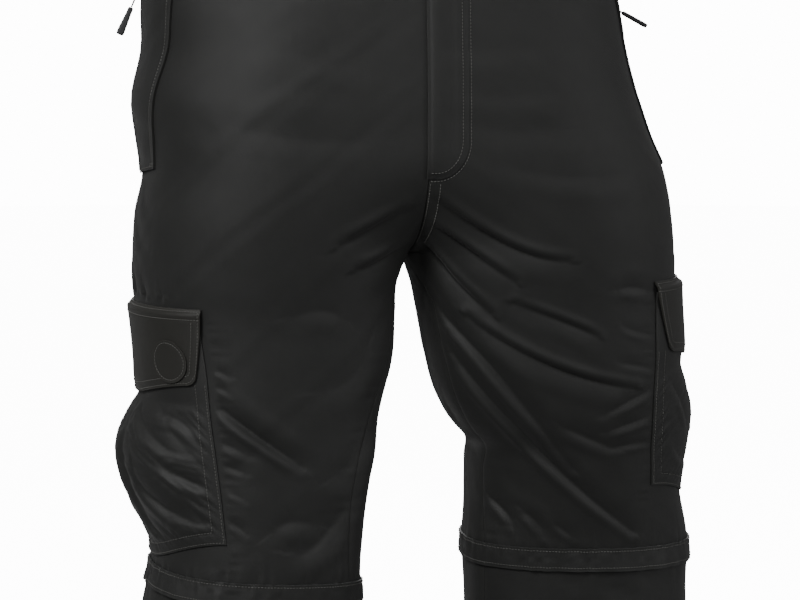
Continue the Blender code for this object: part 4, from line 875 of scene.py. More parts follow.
def pocket_crumple(side, girth, height):
    """Folds and puckers of the bag, gone at its sewn edges and under the flap."""
    size = POCKET[side]
    inside = np.minimum(pocket_front(side, height) - girth, girth - size["back"])
    inside = np.minimum(inside, height - pocket_low(side, girth))
    folds = fold_push(POCKET_FOLDS, side, girth, height)
    hem_line = np.exp(-((inside - 0.0105) / 0.006) ** 2)
    hem = 0.0007 * hem_line * ripple(girth + height, 0.0085, 2.5 + side)
    under_top = size["bulge_top"] - height
    free = smooth_step(inside, 0.0085, 0.018) * smooth_step(under_top, 0.001, 0.010)
    step = -0.0004 * np.exp(-((inside - 0.0095) / 0.0012) ** 2)
    pleats = crumple(girth, height, 1.0 + side) * (1.0 if side == RIGHT else 0.6)
    open_part = smooth_step(-height, -size["bulge_top"] + 0.0005, -size["bulge_top"] + 0.008)
    return (folds + pleats) * free + (hem + step) * open_part


def pocket_face(side, girth, height, inside):
    """Lift of the bag's inner face: pressed down to the leg along its sewn edges."""
    lift = pocket_lift(side, girth, height) + pocket_crumple(side, girth, height)
    return np.maximum(lift - 0.0006 * np.exp(-inside / 0.005), 0.00012)


def cargo_pocket(side, columns, rows_bag, rows_mouth):
    size = POCKET[side]
    name = "cargo_pocket_" + SIDE_WORD[side]
    girth = np.linspace(size["back"], size["front"], columns)[None, :]
    low = pocket_low(side, girth)
    bag = low + (size["bulge_top"] - low) * np.linspace(0, 1, rows_bag)[:, None]
    mouth = size["bulge_top"] + (size["top"] - size["bulge_top"]) * np.linspace(0, 1, rows_mouth)[1:, None] + 0 * low
    height = np.concatenate([bag, mouth])
    front = pocket_front(side, height)
    girth = size["back"] + (front - size["back"]) * np.linspace(0, 1, columns)[None, :]
    inside = np.minimum(np.minimum(front - girth, girth - size["back"]), height - low)
    lift = pocket_face(side, girth, height, inside)
    outer = laid_on(side, girth, height, lift + CLOTH)
    inner = laid_on(side, girth, height, lift)
    # Paler at the sewn edges for wear, and on the crests of the crumples as a painted highlight.
    wear_and_highlight = 0.8 * np.exp(-inside / 0.0012) + 0.3 * np.clip(pocket_crumple(side, girth, height) / 0.001, 0, 1)
    return cloth_piece(name, outer, inner, girth, height, np.clip(wear_and_highlight, 0, 1), leg_cloth, [name])


# %% Flaps and the round patch
def flap_low(side, girth, inset=0.0):
    """Lower edge of the flap, or a line that runs inset above it: a smooth step from the side to the front,
    with a quarter circle at each corner."""
    size = FLAP[side]
    low = size["low_side"] + (size["low_front"] - size["low_side"]) * smooth_step(girth, 0.0, size["front_low"])
    corner = FLAP_CORNER - inset
    for edge, sign in ((size["front_low"] - inset, 1), (size["back"] + inset, -1)):
        past = np.clip((corner - sign * (edge - girth)) / corner, 0, 1)
        low = low + corner * (1 - np.sqrt(1 - past ** 2))
    return low + inset


def flap_lift(side, girth, height):
    """Inner face of the flap: just above the pocket's cloth, and down on the leg at its top edge."""
    size = POCKET[side]
    over = pocket_lift(side, girth, height) + CLOTH + 0.0008
    return LAID + (over - LAID) * smooth_step(-height, -size["top"] - 0.0080, -size["top"] - 0.0036)


def flap_relief(side, girth, height, front):
    """Sewn grooves under the top edge and along the front edge, and a soft hand."""
    size = FLAP[side]
    from_top = size["top"] - height
    from_front = front - girth
    groove = np.exp(-((from_top - 0.0078) / 0.0009) ** 2) + 0.6 * np.exp(-((from_top - 0.0016) / 0.0008) ** 2)
    groove = groove + 0.5 * np.exp(-((from_front - 0.0019) / 0.0008) ** 2)
    groove = groove + 0.5 * np.exp(-((from_front - 0.0072) / 0.0008) ** 2) * (from_top > 0.009)
    return -0.00022 * groove + 0.0003 * ripple(girth, 0.047, side) * ripple(height, 0.052, 1.0)


def cargo_flap(side, columns, rows):
    size = FLAP[side]
    name = "cargo_flap_" + SIDE_WORD[side]
    line = np.linspace(0, 1, columns)
    spread = (0.5 - 0.5 * np.cos(math.pi * line)) * 0.5 + line * 0.5
    climb = np.linspace(0, 1, rows)[:, None]
    front = size["front_low"] + (size["front_top"] - size["front_low"]) * climb
    girth = size["back"] + (front - size["back"]) * spread[None, :]
    low = flap_low(side, size["back"] + (size["front_low"] - size["back"]) * spread[None, :])
    height = low + (size["top"] - low) * climb
    lift = flap_lift(side, girth, height)
    relief = flap_relief(side, girth, height, front)
    outer = laid_on(side, girth, height, lift + FLAP_CLOTH + relief)
    inner = laid_on(side, girth, height, lift)
    edge = np.minimum(np.minimum(front - girth, height - low), size["top"] - height)
    wear_and_highlight = np.clip(0.9 * np.exp(-np.clip(edge, 0, None) / 0.0012) + 0.1, 0, 1)
    return cloth_piece(name, outer, inner, girth, height, wear_and_highlight, flap_cloth, [name])


pockets = {side: cargo_pocket(side, 118, 84, 30) for side in (RIGHT, LEFT)}
flaps = {side: cargo_flap(side, 120, 60) for side in (RIGHT, LEFT)}

# %% [markdown]
# ## Welts, fly and bands
# A welt is the folded strip over a hip pocket's zip. The fly is a second layer on the wearer's left. The knee
# band is a folded strip, sewn at its top and free at its lower edge, so it waves a little.


# %% Hip welts
def welt_faces(side, height, from_front):
    """Lifts of the welt's inner and outer face: low at its front edge, with a soft roll and a sewn groove."""
    stand = 0.0003 + (HIP_STAND - 0.0003) * smooth_step(from_front, 0.006, 0.026)
    roll = 0.0006 * np.exp(-(from_front / 0.0030) ** 2) - 0.0003 * np.exp(-((from_front - 0.0062) / 0.0011) ** 2)
    pull = 0.0004 * ripple(height, 0.037, side) * smooth_step(from_front, 0.004, 0.02)
    return stand, stand + CLOTH + roll + pull


def hip_welt(side, columns, rows):
    name = "hip_welt_" + SIDE_WORD[side]
    climb = np.linspace(0, 1, rows)[:, None]
    spread = np.linspace(0, 1, columns)[None, :]
    front = WELT_LOW_GIRTH + (WELT_TOP_GIRTH - WELT_LOW_GIRTH) * climb + WELT_BOW[side] * np.sin(math.pi * climb)
    girth = WELT_BACK_GIRTH + (front - WELT_BACK_GIRTH) * spread
    top = WAIST_LOW - 2 * SEAM
    height = WELT_LOW + (top - WELT_LOW) * climb - 0.006 * (1 - climb) * (1 - spread) + 0 * girth
    from_front = front - girth
    stand, face = welt_faces(side, height, from_front)
    outer = laid_on(side, girth, height, face)
    inner = laid_on(side, girth, height, stand)
    wear_and_highlight = np.clip(np.exp(-from_front / 0.0014), 0, 1)
    return cloth_piece(name, outer, inner, girth, height, wear_and_highlight, leg_cloth, [name])


welts = {side: hip_welt(side, 34, 90) for side in (RIGHT, LEFT)}


# %% Fly
def fly_low(offset):
    """Lower edge of the fly: level near the middle, then a quarter of an ellipse up to its outer edge."""
    past = np.clip((offset - 0.006) / (FLY_WIDE - 0.006), 0, 1)
    return FLY_LOW + 0.030 * (1 - np.sqrt(1 - 0.97 * past ** 2))


def fly_faces(offset, height):
    """Lifts of the fly's inner and outer face: a soft bulge beside its middle edge, and flat along its outer edge."""
    bulge = 0.0010 * np.exp(-((offset - 0.0065) / 0.0075) ** 2) - 0.0006 * np.exp(-((offset - 0.0185) / 0.006) ** 2)
    bulge = bulge * smooth_step(height, FLY_LOW + 0.004, FLY_LOW + 0.040)
    pressed = smooth_step(offset, FLY_WIDE - 0.010, FLY_WIDE - 0.001)
    pressed = np.maximum(pressed, 0.5 * smooth_step(fly_low(offset) - height, -0.006, -0.0005))
    stand = 0.00012 + (LAID - 0.00012) * (1 - pressed)
    return stand, (LAID + CLOTH) * (1 - 0.78 * pressed) + bulge


def fly_placket(columns, rows):
    offset = np.linspace(-FLY_OVER, FLY_WIDE, columns)[None, :]
    climb = np.linspace(0, 1, rows)[:, None] ** 1.2
    low = fly_low(offset)
    height = low + (WAIST_LOW - 2 * SEAM - low) * climb
    offset = offset + 0 * height
    edge = np.clip(FLY_WIDE - offset, 0, None)
    stand, face = fly_faces(offset, height)
    outer = by_middle(offset, height, face)
    inner = by_middle(offset, height, stand)
    wear_and_highlight = np.clip(np.exp(-(offset + FLY_OVER) / 0.0012) + 0.4 * np.exp(-edge / 0.001), 0, 1)
    return cloth_piece("fly_placket", outer, inner, offset, height, wear_and_highlight, leg_cloth, ["fly_placket"])


fly = fly_placket(40, 90)


# %% Knee bands and waistband
def around(count):
    """Shares and halves for one trip round a leg, starting at the inseam and going over the front."""
    share = np.concatenate([np.linspace(0, 1, count + 1), np.linspace(1, 0, count + 1)[1:-1]])
    return share[None, :], (np.arange(2 * count) <= count)[None, :]


def leg_ring(side, share, front, height, lift):
    ahead = cloth(side, FRONT, share, height, lift)
    behind = cloth(side, BACK, share, height, lift)
    return np.where(front[..., None], ahead, behind)


def band_faces(side, share, along, drop):
    """Lifts of the band's inner and outer face: puckered at its sewn top, waving at its free lower edge."""
    lower = smooth_step(drop, 0.0, BAND_HEIGHT)
    stand = 0.0007 + 0.0018 * lower * (0.6 + 0.4 * np.cos(7 * share + 2))
    stand = stand + 0.0006 * lower * ripple(along, 0.041, side)
    stand = stand + 0.0004 * (1 - lower) * ripple(along, 0.012, 4.0 + side)
    hem = -0.00025 * np.exp(-((drop - 0.0022) / 0.0007) ** 2)
    return stand, stand + 0.0016 + hem


def knee_band(side, count, rows):
    """Stands off more towards its free lower edge, by a slow wave along its length."""
    name = "knee_band_" + SIDE_WORD[side]
    share, front = around(count)
    drop = np.linspace(0, 1, rows)[:, None] * BAND_HEIGHT
    share, front = share + 0 * drop, front & (drop > -1)
    height = knee_height(side, share, drop)
    along = np.where(front, -1, 1) * share * 0.31
    stand, face = band_faces(side, share, along, drop)
    outer = leg_ring(side, share, front, height, face)
    inner = leg_ring(side, share, front, height, stand)
    wear_and_highlight = np.clip(np.exp(-drop / 0.001) + np.exp(-(BAND_HEIGHT - drop) / 0.0012), 0, 1)
    return cloth_piece(name, outer, inner, along, height, wear_and_highlight, leg_cloth, [name], closed=True)


bands = {side: knee_band(side, 230, 10) for side in (RIGHT, LEFT)}


def waistband(count, rows):
    """One trip round the waist, with the wearer's left end lapped over the right."""
    lap_over, lap_under, thick = 0.024, 0.020, 0.0022
    heights = np.linspace(WAIST_TOP, WAIST_LOW, rows)
    spans = [(RIGHT, FRONT, np.linspace(1, 0, 9)[:-1], lap_over)]
    steps = np.linspace(0, 1, count + 1)
    spans.append((LEFT, FRONT, steps, 0))
    spans.append((LEFT, BACK, steps[::-1][1:], 0))
    spans.append((RIGHT, BACK, steps[1:], 0))
    spans.append((RIGHT, FRONT, steps[::-1][1:], 0))
    spans.append((LEFT, FRONT, np.linspace(0, 1, 9)[1:], lap_under))
    outer, inner, run = [], [], []
    travelled = 0.0
    for part, (side, half, shares, lap) in enumerate(spans):
        for share in shares:
            length = half_girth(side, half, heights)
            use = share * lap / length if lap else np.full(rows, share)
            here = -share * lap if part == 0 else travelled + share * lap
            if not lap:
                progress = share if (side, half) in ((LEFT, FRONT), (RIGHT, BACK)) else 1 - share
                here = (part - 1 + progress) * float(length.mean())
                travelled = here
            lift = 0.0028 * (1 - smooth_step(here, 0.030, 0.075)) if part < 2 else 0.0
            out = cloth(side, half, use, heights, lift + 0.0004)
            back = cloth(side, half, use, heights, lift + 0.0004 - thick)
            if share == 0:
                out[:, 0] = 0
                back[:, 0] = 0
            outer.append(out)
            inner.append(back)
            run.append(here)
    outer, inner, run = np.array(outer), np.array(inner), np.array(run)[:, None]
    from_edge = np.minimum(WAIST_TOP - heights, heights - WAIST_LOW)[None, :]
    wear_and_highlight = np.clip(0.9 * np.exp(-from_edge / 0.0012) + 0 * run, 0, 1)
    return cloth_piece("waistband", outer, inner, run, heights[None, :], wear_and_highlight, leg_cloth, ["waistband"])


band_of_waist = waistband(90, 14)

# %% [markdown]
# ## Cloth turned to the inside
# A hem is folded up inside the leg, and the crotch seam is felled: its edges are folded over each other and sewn
# flat. Both lie one thickness under the outer cloth, so they are made from the same surface with a negative lift,
# and they keep light from showing through the seams.

# %% Turned hems and the felled crotch seam
def under_piece(name, shell, map_u, map_v, closed=False):
    """Cloth turned to the inside: shell(lift) gives its grid, one wall thickness under the outer cloth."""
    outer, inner = shell(-CLOTH - 0.0002), shell(-2 * CLOTH - 0.0002)
    return cloth_piece(name, outer, inner, map_u, map_v, 0.0, leg_cloth, [], closed)


def turned_hem(side, count, rows):
    """A ring inside the leg's end, as high as the hem's row of stitches."""
    share, front = around(count)
    height = HEM + 0.0005 + 0.021 * np.linspace(1, 0, rows)[:, None] + 0 * share
    share, front = np.broadcast_arrays(share + 0 * height, front)
    girth = np.where(front, -1, 1) * share * 0.2
    name = "hem_turn_" + SIDE_WORD[side]
    return under_piece(name, lambda lift: leg_ring(side, share, front, height, lift + 0 * share), girth, height, True)


def crotch_strip(columns, rows):
    """The seam's turned edges behind the middle line, from the crotch up to the fly."""
    offset = np.linspace(-0.0065, 0.0065, columns)[None, :]
    height = CROTCH + 0.001 + (FLY_LOW + 0.004 - CROTCH) * np.linspace(1, 0, rows)[:, None] ** 1.6
    offset, height = offset + 0 * height, height + 0 * offset

    def shell(lift):
        walls = {}
        for side in (RIGHT, LEFT):
            share = np.clip(side * offset / half_girth(side, FRONT, height), 0, 1)
            walls[side] = cloth(side, FRONT, share, height, lift + 0 * share)
        return np.where((offset > 0)[..., None], walls[LEFT], walls[RIGHT])
    return under_piece("crotch_seam", shell, offset, height)


hem_turns = {side: turned_hem(side, 120, 6) for side in (RIGHT, LEFT)}
seam_strip = crotch_strip(10, 60)


# %% Round patch
def flap_patch(rings, count):
    """Disc of cloth in rings round its centre, with a raised stitched rim."""
    angle = np.linspace(0, 2 * math.pi, count, endpoint=False)[None, :]
    radius = PATCH_RADIUS * np.linspace(0.02, 1, rings)[:, None]
    girth = PATCH_GIRTH + radius * np.cos(angle)
    height = PATCH_HEIGHT + radius * np.sin(angle)
    lift = flap_lift(RIGHT, girth, height) + FLAP_CLOTH + 0.0004
    sewn = -0.0002 * np.exp(-((radius - PATCH_RADIUS + 0.0024) / 0.0007) ** 2)
    outer = laid_on(RIGHT, girth, height, lift + PATCH_CLOTH + sewn)
    inner = laid_on(RIGHT, girth, height, lift)
    wear_and_highlight = np.clip(np.exp(-(PATCH_RADIUS - radius) / 0.0010) + 0 * angle, 0, 1)
    return cloth_piece(
        "flap_patch", outer, inner, girth, height, wear_and_highlight, flap_cloth, ["flap_patch"], True, True
    )


patch = flap_patch(22, 96)

# %% [markdown]
# ## Stitching
# Topstitching holds each turned edge flat, and on plain dark cloth it is what draws the pockets, fly and bands.
# A lockstitch shows as short threads that dive into the cloth at both ends. Each one is a small body of four
# rings with four corners, so thousands of them stay light, and a row of them follows any line on a piece.

# %% Stitch helpers
STITCH_PITCH = 0.0026
STITCH_LONG = 0.0020
STITCH_WIDE = 0.00068
STITCH_CURVE = np.array([-0.50, -0.27, 0.27, 0.50])
STITCH_FULL = np.array([0.45, 1.0, 1.0, 0.45]) / 2
STITCH_RISE = np.array([-0.45, 0.35, 0.35, -0.45])

# Insets of the rows from the edges that they hold, in metres.
POCKET_ROWS = (0.0016, 0.0098)
FLAP_TOP_ROWS = (0.0016, 0.0078)
FLAP_EDGE_ROWS = ((0.0019, 0.0020), (0.0072, 0.0095))
WELT_ROW = 0.0060
WELT_BARS = ((0.0022, 0.046), (0.0034, 0.011), (0.0046, 0.011))
FLY_ROW = 0.0048
FLY_OUTER_ROW = -0.0020
CROTCH_ROWS = (0.0014, 0.0095)
BAND_ROWS = (0.0022, BAND_HEIGHT - 0.0030)
WAIST_ROWS = (0.0178, -0.0178)
PATCH_ROW = 0.0024
HEM_TURN = 0.018


def beads(centre, ahead, out, long, wide):
    """Small closed bodies: four rings along ahead, thin and sunk at both ends, full and proud between."""
    ahead = ahead / np.linalg.norm(ahead, axis=-1, keepdims=True)
    out = out / np.linalg.norm(out, axis=-1, keepdims=True)
    step, full, rise = STITCH_CURVE * long, STITCH_FULL * wide, STITCH_RISE * wide
    turn = np.arange(4) * math.pi / 2
    core = centre[:, None] + ahead[:, None] * step[None, :, None] + out[:, None] * rise[None, :, None]
    across = np.cross(ahead, out)
    ring = across[:, None, None] * np.cos(turn)[:, None] + out[:, None, None] * np.sin(turn)[:, None]
    return core[:, :, None] + full[None, :, None, None] * ring


def bead_faces(count):
    """Twelve side faces and two ends for each body."""
    r, c = np.meshgrid(np.arange(3), np.arange(4), indexing="ij")
    d = (c + 1) % 4
    sides = np.stack([r * 4 + c, r * 4 + d, (r + 1) * 4 + d, (r + 1) * 4 + c], axis=-1).reshape(-1, 4)
    one = np.concatenate([sides, [[3, 2, 1, 0], [12, 13, 14, 15]]])
    return (one[None] + 16 * np.arange(count)[:, None, None]).reshape(-1, 4)


def bead_piece(name, bodies, material, body=TROUSERS):
    points = np.concatenate(bodies).reshape(-1, 3)
    mesh, _ = mesh_from(name, points, bead_faces(len(points) // 16))
    piece = finished(name, mesh, material, body, [])
    print(name, len(points) // 16, "small bodies")
    return piece


def stitch_row(place):
    """Stitches at equal steps along a line. place(lift) gives the line's points at that height over the piece."""
    low, high = place(0.0), place(0.001)
    run = np.concatenate([[0], np.cumsum(np.linalg.norm(np.diff(low, axis=0), axis=1))])
    count = max(2, round(run[-1] / STITCH_PITCH))
    spots = (np.arange(count) + 0.5) * run[-1] / count

    def read(line, at):
        return np.stack([np.interp(at, run, line[:, k]) for k in range(3)], axis=-1)

    ahead = read(low, spots + STITCH_LONG / 2) - read(low, spots - STITCH_LONG / 2)
    return beads(read(low, spots), ahead, read(high, spots) - read(low, spots), STITCH_LONG, STITCH_WIDE)


# %% Rows on the pockets
thread_finish = Finish("thread", {"Specular IOR Level": 0.4})
strands = thread_finish.noise(thread_finish.on_piece(), 4000.0, 2.0, 0.6)
thread_colour = thread_finish.colour_mix(strands, (0.085, 0.084, 0.079, 1), (0.160, 0.158, 0.148, 1))
thread = thread_finish.paint(thread_colour, 0.62 - strands * 0.1, strands, 0.00004, 0.5)


def pocket_row(side, inset):
    """From under the flap down the front edge, along the bottom and up the back edge, inset inside them."""
    size = POCKET[side]
    start = size["bulge_top"] + 0.016
    down = np.linspace(start, pocket_low(side, size["front"]) + inset, 90)
    girth_front = pocket_front(side, down) - inset
    bottom_girth = np.linspace(girth_front[-1], size["back"] + inset, 110)[1:]
    up = np.linspace(pocket_low(side, size["back"]) + inset, start, 90)[1:]
    girth = np.concatenate([girth_front, bottom_girth, np.full(89, size["back"] + inset)])
    height = np.concatenate([down, pocket_low(side, bottom_girth) + inset, up])
    face = pocket_face(side, girth, height, np.full(girth.shape, inset)) + CLOTH
    return stitch_row(lambda lift: laid_on(side, girth, height, face + lift))


def flap_rows(side):
    """Two level rows under the top edge, and two that follow the front edge, the bottom and the back edge."""
    size = FLAP[side]
    rows = []

    def row(girth, height):
        face = flap_lift(side, girth, height) + FLAP_CLOTH - 0.0001
        rows.append(stitch_row(lambda lift: laid_on(side, girth, height, face + lift)))

    for drop in FLAP_TOP_ROWS:
        level = np.linspace(size["back"] + 0.002, size["front_top"] - 0.002, 120)
        row(level, np.full(120, size["top"] - drop))
    for inset, start in FLAP_EDGE_ROWS:
        top = size["top"] - start
        corner = size["front_low"] - inset
        lowest = flap_low(side, corner - 1e-6, inset)
        height = np.linspace(top, lowest, 60)
        slant = (height - size["low_front"]) / (size["top"] - size["low_front"])
        girth = size["front_low"] + (size["front_top"] - size["front_low"]) * slant - inset
        bottom = np.linspace(corner, size["back"] + inset, 160)[1:]
        back = np.linspace(flap_low(side, size["back"] + inset, inset), top, 60)[1:]
        line_girth = np.concatenate([girth, bottom, np.full(59, size["back"] + inset)])
        row(line_girth, np.concatenate([height, flap_low(side, bottom, inset), back]))
    return rows


for side, word in SIDE_WORD.items():
    rows = [pocket_row(side, inset) for inset in POCKET_ROWS]
    bead_piece("stitches_pocket_" + word, rows, thread)
    bead_piece("stitches_flap_" + word, flap_rows(side), thread)


# %% Rows on the welts, fly and crotch
def welt_rows(side):
    """One row behind the front edge, one along the lower end, and a short bar across the corner."""
    climb = np.linspace(0.03, 1, 120)
    height = WELT_LOW + (WAIST_LOW - 2 * SEAM - WELT_LOW) * climb
    front = WELT_LOW_GIRTH + (WELT_TOP_GIRTH - WELT_LOW_GIRTH) * climb + WELT_BOW[side] * np.sin(math.pi * climb)
    face = welt_faces(side, height, np.full(120, WELT_ROW))[1]
    rows = [stitch_row(lambda lift: laid_on(side, front - WELT_ROW, height, face + lift))]
    for rise, long in WELT_BARS:
        behind_line = np.linspace(0.001, long, 40)
        girth = WELT_LOW_GIRTH + 0.0004 - behind_line
        level = WELT_LOW + rise - 0.006 * behind_line / 0.0535
        low_face = welt_faces(side, level, behind_line)[1]
        rows.append(stitch_row(lambda lift: laid_on(side, girth, level, low_face + lift)))
    return rows


def fly_row(inset):
    """Straight down, then a quarter ellipse to the middle: the placket's edge, inset inside it (or outside)."""
    turn = np.linspace(math.pi / 2, 0, 50)
    down = np.linspace(WAIST_LOW - 0.001, FLY_LOW + 0.030, 70)[:-1]
    level = np.linspace(0.006, 0.001, 8)[1:]
    offset = np.concatenate([np.full(69, FLY_WIDE - inset), 0.006 + (FLY_WIDE - inset - 0.006) * np.sin(turn), level])
    curve = FLY_LOW + inset + (0.030 - inset) * (1 - np.cos(turn))
    height = np.concatenate([down, curve, np.full(7, FLY_LOW + inset)])
    face = fly_faces(offset, height)[1] if inset > 0 else 0 * height
    return stitch_row(lambda lift: by_middle(offset, height, face + lift))


def crotch_row(offset):
    height = np.linspace(FLY_LOW - 0.004, CROTCH + 0.009, 60)
    return stitch_row(lambda lift: by_middle(np.full(60, offset), height, lift))


for side, word in SIDE_WORD.items():
    bead_piece("stitches_welt_" + word, welt_rows(side), thread)
bead_piece("stitches_fly", [fly_row(FLY_ROW)], thread)
crotch_rows = [fly_row(FLY_OUTER_ROW)] + [crotch_row(offset) for offset in CROTCH_ROWS]
bead_piece("stitches_crotch", crotch_rows, thread)


# %% Rows on the bands, hems, waistband and patch
def round_row(count, face_of):
    """Once round a leg, front half and back half. face_of(lift, share, is_front) gives the points."""
    share, front = around(count)
    share = np.append(share[0], 0.0)
    front = np.append(front[0], True)
    return stitch_row(lambda lift: face_of(lift, share, front))


def band_row(side, drop):
    def face_of(lift, share, front):
        along = np.where(front, -1, 1) * share * 0.31
        face = band_faces(side, share, along, np.full(share.shape, drop))[1]
        return leg_ring(side, share, front, knee_height(side, share, drop), face + lift)
    return round_row(160, face_of)


def hem_row(side, rise):
    def face_of(lift, share, front):
        return leg_ring(side, share, front, np.full(share.shape, HEM + rise), lift + 0 * share)
    return round_row(120, face_of)


def waist_row(height):
    """From the lapped left end round the back to the right front, standing off where the end is lapped."""
    parts = ((LEFT, FRONT, 0.02, 1.0), (LEFT, BACK, 1.0, 0.0), (RIGHT, BACK, 0.0, 1.0), (RIGHT, FRONT, 1.0, 0.16))

    def place(lift):
        lines = []
        for side, half, start, end in parts:
            share = np.linspace(start, end, 90)
            here = share * half_girth(side, half, height)
            lap = 0.0028 * (1 - smooth_step(here, 0.030, 0.075)) if (side, half) == (LEFT, FRONT) else 0.0
            lines.append(cloth(side, half, share, np.full(90, height), lap + 0.0004 + lift))
        return np.concatenate(lines)
    return stitch_row(place)


def patch_row():
    angle = np.linspace(0, 2 * math.pi, 120)
    radius = PATCH_RADIUS - PATCH_ROW
    girth, height = PATCH_GIRTH + radius * np.cos(angle), PATCH_HEIGHT + radius * np.sin(angle)
    face = flap_lift(RIGHT, girth, height) + FLAP_CLOTH + 0.0004 + PATCH_CLOTH - 0.0002
    return stitch_row(lambda lift: laid_on(RIGHT, girth, height, face + lift))


for side, word in SIDE_WORD.items():
    rows = [band_row(side, drop) for drop in BAND_ROWS]
    bead_piece("stitches_band_" + word, rows, thread)
    bead_piece("stitches_hem_" + word, [hem_row(side, HEM_TURN)], thread)
waist_rows = [waist_row(height) for height in WAIST_ROWS]
bead_piece("stitches_waistband", waist_rows, thread)
bead_piece("stitches_patch", [patch_row()], thread)

# %% [markdown]
# ## Hard parts
# Zips, sliders, cords, pulls and the button keep their CAD shape and get a finish of their own.


# %% Hard finishes
def hard(name, dark, light, roughness, metallic, scale, bump):
    finish = Finish(name, {"Metallic": metallic, "Specular IOR Level": 0.45})
    place = finish.on_piece()
    cloud = finish.noise(place, scale, 4.0, 0.6)
    colour = finish.colour_mix(cloud.above(0.35, 0.65), dark, light)
    return finish.paint(colour, roughness + cloud * 0.2 - 0.1, cloud, bump, 0.5)


zip_tape = hard("zip_tape", (0.010, 0.010, 0.010, 1), (0.018, 0.018, 0.018, 1), 0.65, 0.0, 2500.0, 0.0001)
pull_rubber = hard("pull_rubber", (0.035, 0.035, 0.037, 1), (0.060, 0.060, 0.062, 1), 0.55, 0.0, 900.0, 0.00006)
pull_cord = hard("pull_cord", (0.012, 0.012, 0.012, 1), (0.024, 0.024, 0.024, 1), 0.8, 0.0, 3000.0, 0.0001)
dark_metal = hard("dark_metal", (0.030, 0.030, 0.032, 1), (0.060, 0.060, 0.064, 1), 0.38, 0.9, 1200.0, 0.00003)
button_plastic = hard("button_plastic", (0.014, 0.014, 0.014, 1), (0.024, 0.024, 0.024, 1), 0.35, 0.0, 600.0, 0.00004)

HARD_NODES = {"fly_zip": zip_tape, "waist_button": button_plastic}
for word in SIDE_WORD.values():
    HARD_NODES["hip_zip_" + word] = zip_tape
    HARD_NODES["knee_zip_" + word] = zip_tape
    HARD_NODES["knee_slider_" + word] = dark_metal
    HARD_NODES["hip_slider_" + word] = dark_metal
    HARD_NODES["hip_cord_" + word] = pull_cord
    HARD_NODES["hip_pull_" + word] = pull_rubber
for name, finish in HARD_NODES.items():
    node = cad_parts[name]
    node.data.materials.clear()
    node.data.materials.append(finish)

# %% [markdown]
# ## What each sheet was cut from
# Each main cloth piece prints the flat size that it was cut to beside the area of its built cloth. A panel
# that tapers has less area than its width times its length.


# %% Sheets
def pattern_area(piece):
    """Flat area of a cut that isn't a rectangle, from its girths and heights, which no fold or crumple changes."""
    corners = np.empty(len(piece.data.loops) * 2, dtype=np.float32)
    piece.data.uv_layers["cloth"].data.foreach_get("uv", corners)
    corners = corners.reshape(-1, 4, 2)
    first, second = corners[:, 2] - corners[:, 0], corners[:, 3] - corners[:, 1]
    return float(np.abs(first[:, 0] * second[:, 1] - first[:, 1] * second[:, 0]).sum() / 4)


def cut_sheet(piece, width, length, area=None):
    """Its built cloth, half of the closed wall's surface, is printed beside the flat area."""
    cloth_area = sum(face.area for face in piece.data.polygons) / 2
    flat = width * length if area is None else area
    print(piece.name, "cut", width, "x", length, "m, flat", round(flat, 4), "m2, cloth", round(cloth_area / flat, 3))


def cut_shape(piece, width, length):
    cut_sheet(piece, width, length, pattern_area(piece))


for side in (RIGHT, LEFT):
    word = SIDE_WORD[side]
    cut_shape(panels[side, "front"], 0.335, 0.50)
    cut_shape(panels[side, "back"], 0.345, 0.50)
    cut_shape(panels[side, "lower_front"], 0.26, 0.53)
    cut_shape(panels[side, "lower_back"], 0.295, 0.53)
    cut_sheet(pockets[side], 0.21, 0.21)
    cut_shape(flaps[side], 0.185, 0.082)
    cut_shape(welts[side], 0.076, 0.172)
    cut_sheet(bands[side], 0.64, 0.020)
cut_shape(fly, 0.033, 0.173)
cut_sheet(patch, 0.035, 0.035, math.pi * PATCH_RADIUS ** 2)
cut_sheet(band_of_waist, 1.02, 0.041)

# %% [markdown]
# ## Floor, light and camera
# A plain pale floor under the hems and a pale surround, as for a shop picture. Black cloth shows its folds only
# if the light comes from one side, so a large soft lamp stands high at the wearer's right, a weak one fills the
# other side, and the surround itself lights little: it is bright for the camera alone. The floor glows too
# for the same reason. The camera stands a little to the wearer's right.

# %% Floor and surround
FLOOR_RADIUS = 14.0
FLOOR_GLOW = 16.0
SURROUND_GLOW = 14.0
SURROUND_LIGHT = 0.14
ring_angle = np.linspace(0, 2 * math.pi, 96, endpoint=False)
floor_points = np.stack([FLOOR_RADIUS * np.cos(ring_angle), FLOOR_RADIUS * np.sin(ring_angle)], axis=1)
floor_points = np.concatenate([floor_points, np.full((96, 1), HEM - 0.001)], axis=1)
floor_mesh = bpy.data.meshes.new("studio_floor")
floor_mesh.from_pydata(floor_points.tolist(), [], [tuple(range(96))])
floor = bpy.data.objects.new("studio_floor", floor_mesh)
bpy.context.scene.collection.objects.link(floor)
floor_finish = Finish("pale_floor", {"Specular IOR Level": 0.1, "Emission Strength": FLOOR_GLOW})
floor_cloud = floor_finish.noise(floor_finish.on_piece(), 0.7, 3.0, 0.5)
floor_colour = floor_finish.colour_mix(floor_cloud, (0.80, 0.80, 0.80, 1), (0.84, 0.84, 0.84, 1))
floor_finish.feed(floor_finish.shader.inputs["Emission Color"], floor_colour)
floor_mesh.materials.append(floor_finish.paint(floor_colour, 0.9, floor_cloud, 0.001, 0.1))
floor.visible_diffuse = False
floor.visible_glossy = False

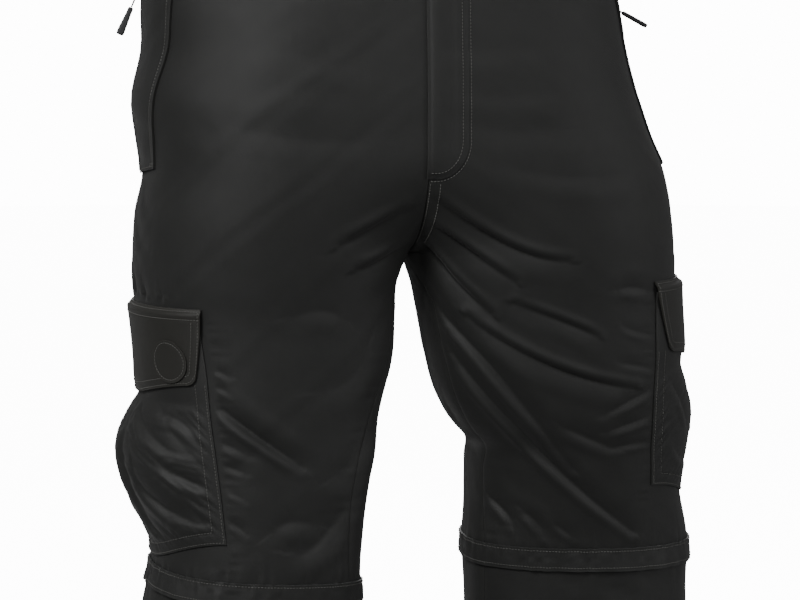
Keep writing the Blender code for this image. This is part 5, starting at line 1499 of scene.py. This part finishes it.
world = bpy.data.worlds.new("pale_studio")
bpy.context.scene.world = world
world.use_nodes = True
world_nodes = world.node_tree.nodes
world_links = world.node_tree.links
dim = world_nodes["Background"]
dim.inputs["Color"].default_value = (1.0, 1.0, 1.0, 1)
dim.inputs["Strength"].default_value = SURROUND_LIGHT
bright = world_nodes.new("ShaderNodeBackground")
bright.inputs["Color"].default_value = (1.0, 1.0, 1.0, 1)
bright.inputs["Strength"].default_value = SURROUND_GLOW
seen = world_nodes.new("ShaderNodeMixShader")
world_links.new(world_nodes.new("ShaderNodeLightPath").outputs["Is Camera Ray"], seen.inputs[0])
world_links.new(dim.outputs[0], seen.inputs[1])
world_links.new(bright.outputs[0], seen.inputs[2])
world_links.new(seen.outputs[0], world_nodes["World Output"].inputs["Surface"])


# %% Lamps
def lamp(name, place, aim, width, height, power):
    light = bpy.data.lights.new(name, "AREA")
    light.shape = "RECTANGLE"
    light.size = width
    light.size_y = height
    light.energy = power
    made = bpy.data.objects.new(name, light)
    made.location = place
    towards = np.array(aim, float) - np.array(place, float)
    towards /= np.linalg.norm(towards)
    made.rotation_euler = (math.acos(-towards[2]), 0, math.atan2(-towards[0], towards[1]))
    bpy.context.scene.collection.objects.link(made)


lamp("key_lamp", (-2.0, -1.9, 1.5), (0, 0, -0.35), 1.1, 0.9, 65)
lamp("front_lamp", (-0.5, -2.9, 0.9), (0, 0, -0.4), 1.2, 1.2, 12)
lamp("fill_lamp", (2.4, -1.3, 0.2), (0, 0, -0.4), 1.0, 1.4, 15)
lamp("back_lamp", (0.6, 2.8, 1.5), (0, 0, -0.4), 1.6, 1.2, 50)

# %% Camera
CAMERA_PLACE = (-0.457, -2.152, -0.0885)
CAMERA_LENS = 120.7
CAMERA_TILT = 5.43
CAMERA_TURN = -12.0
lens = bpy.data.cameras.new("camera")
lens.lens = CAMERA_LENS
lens.sensor_width = 36.0
camera = bpy.data.objects.new("camera", lens)
camera.location = CAMERA_PLACE
camera.rotation_euler = (math.radians(90 - CAMERA_TILT), 0, math.radians(CAMERA_TURN))
bpy.context.scene.collection.objects.link(camera)
bpy.context.scene.camera = camera
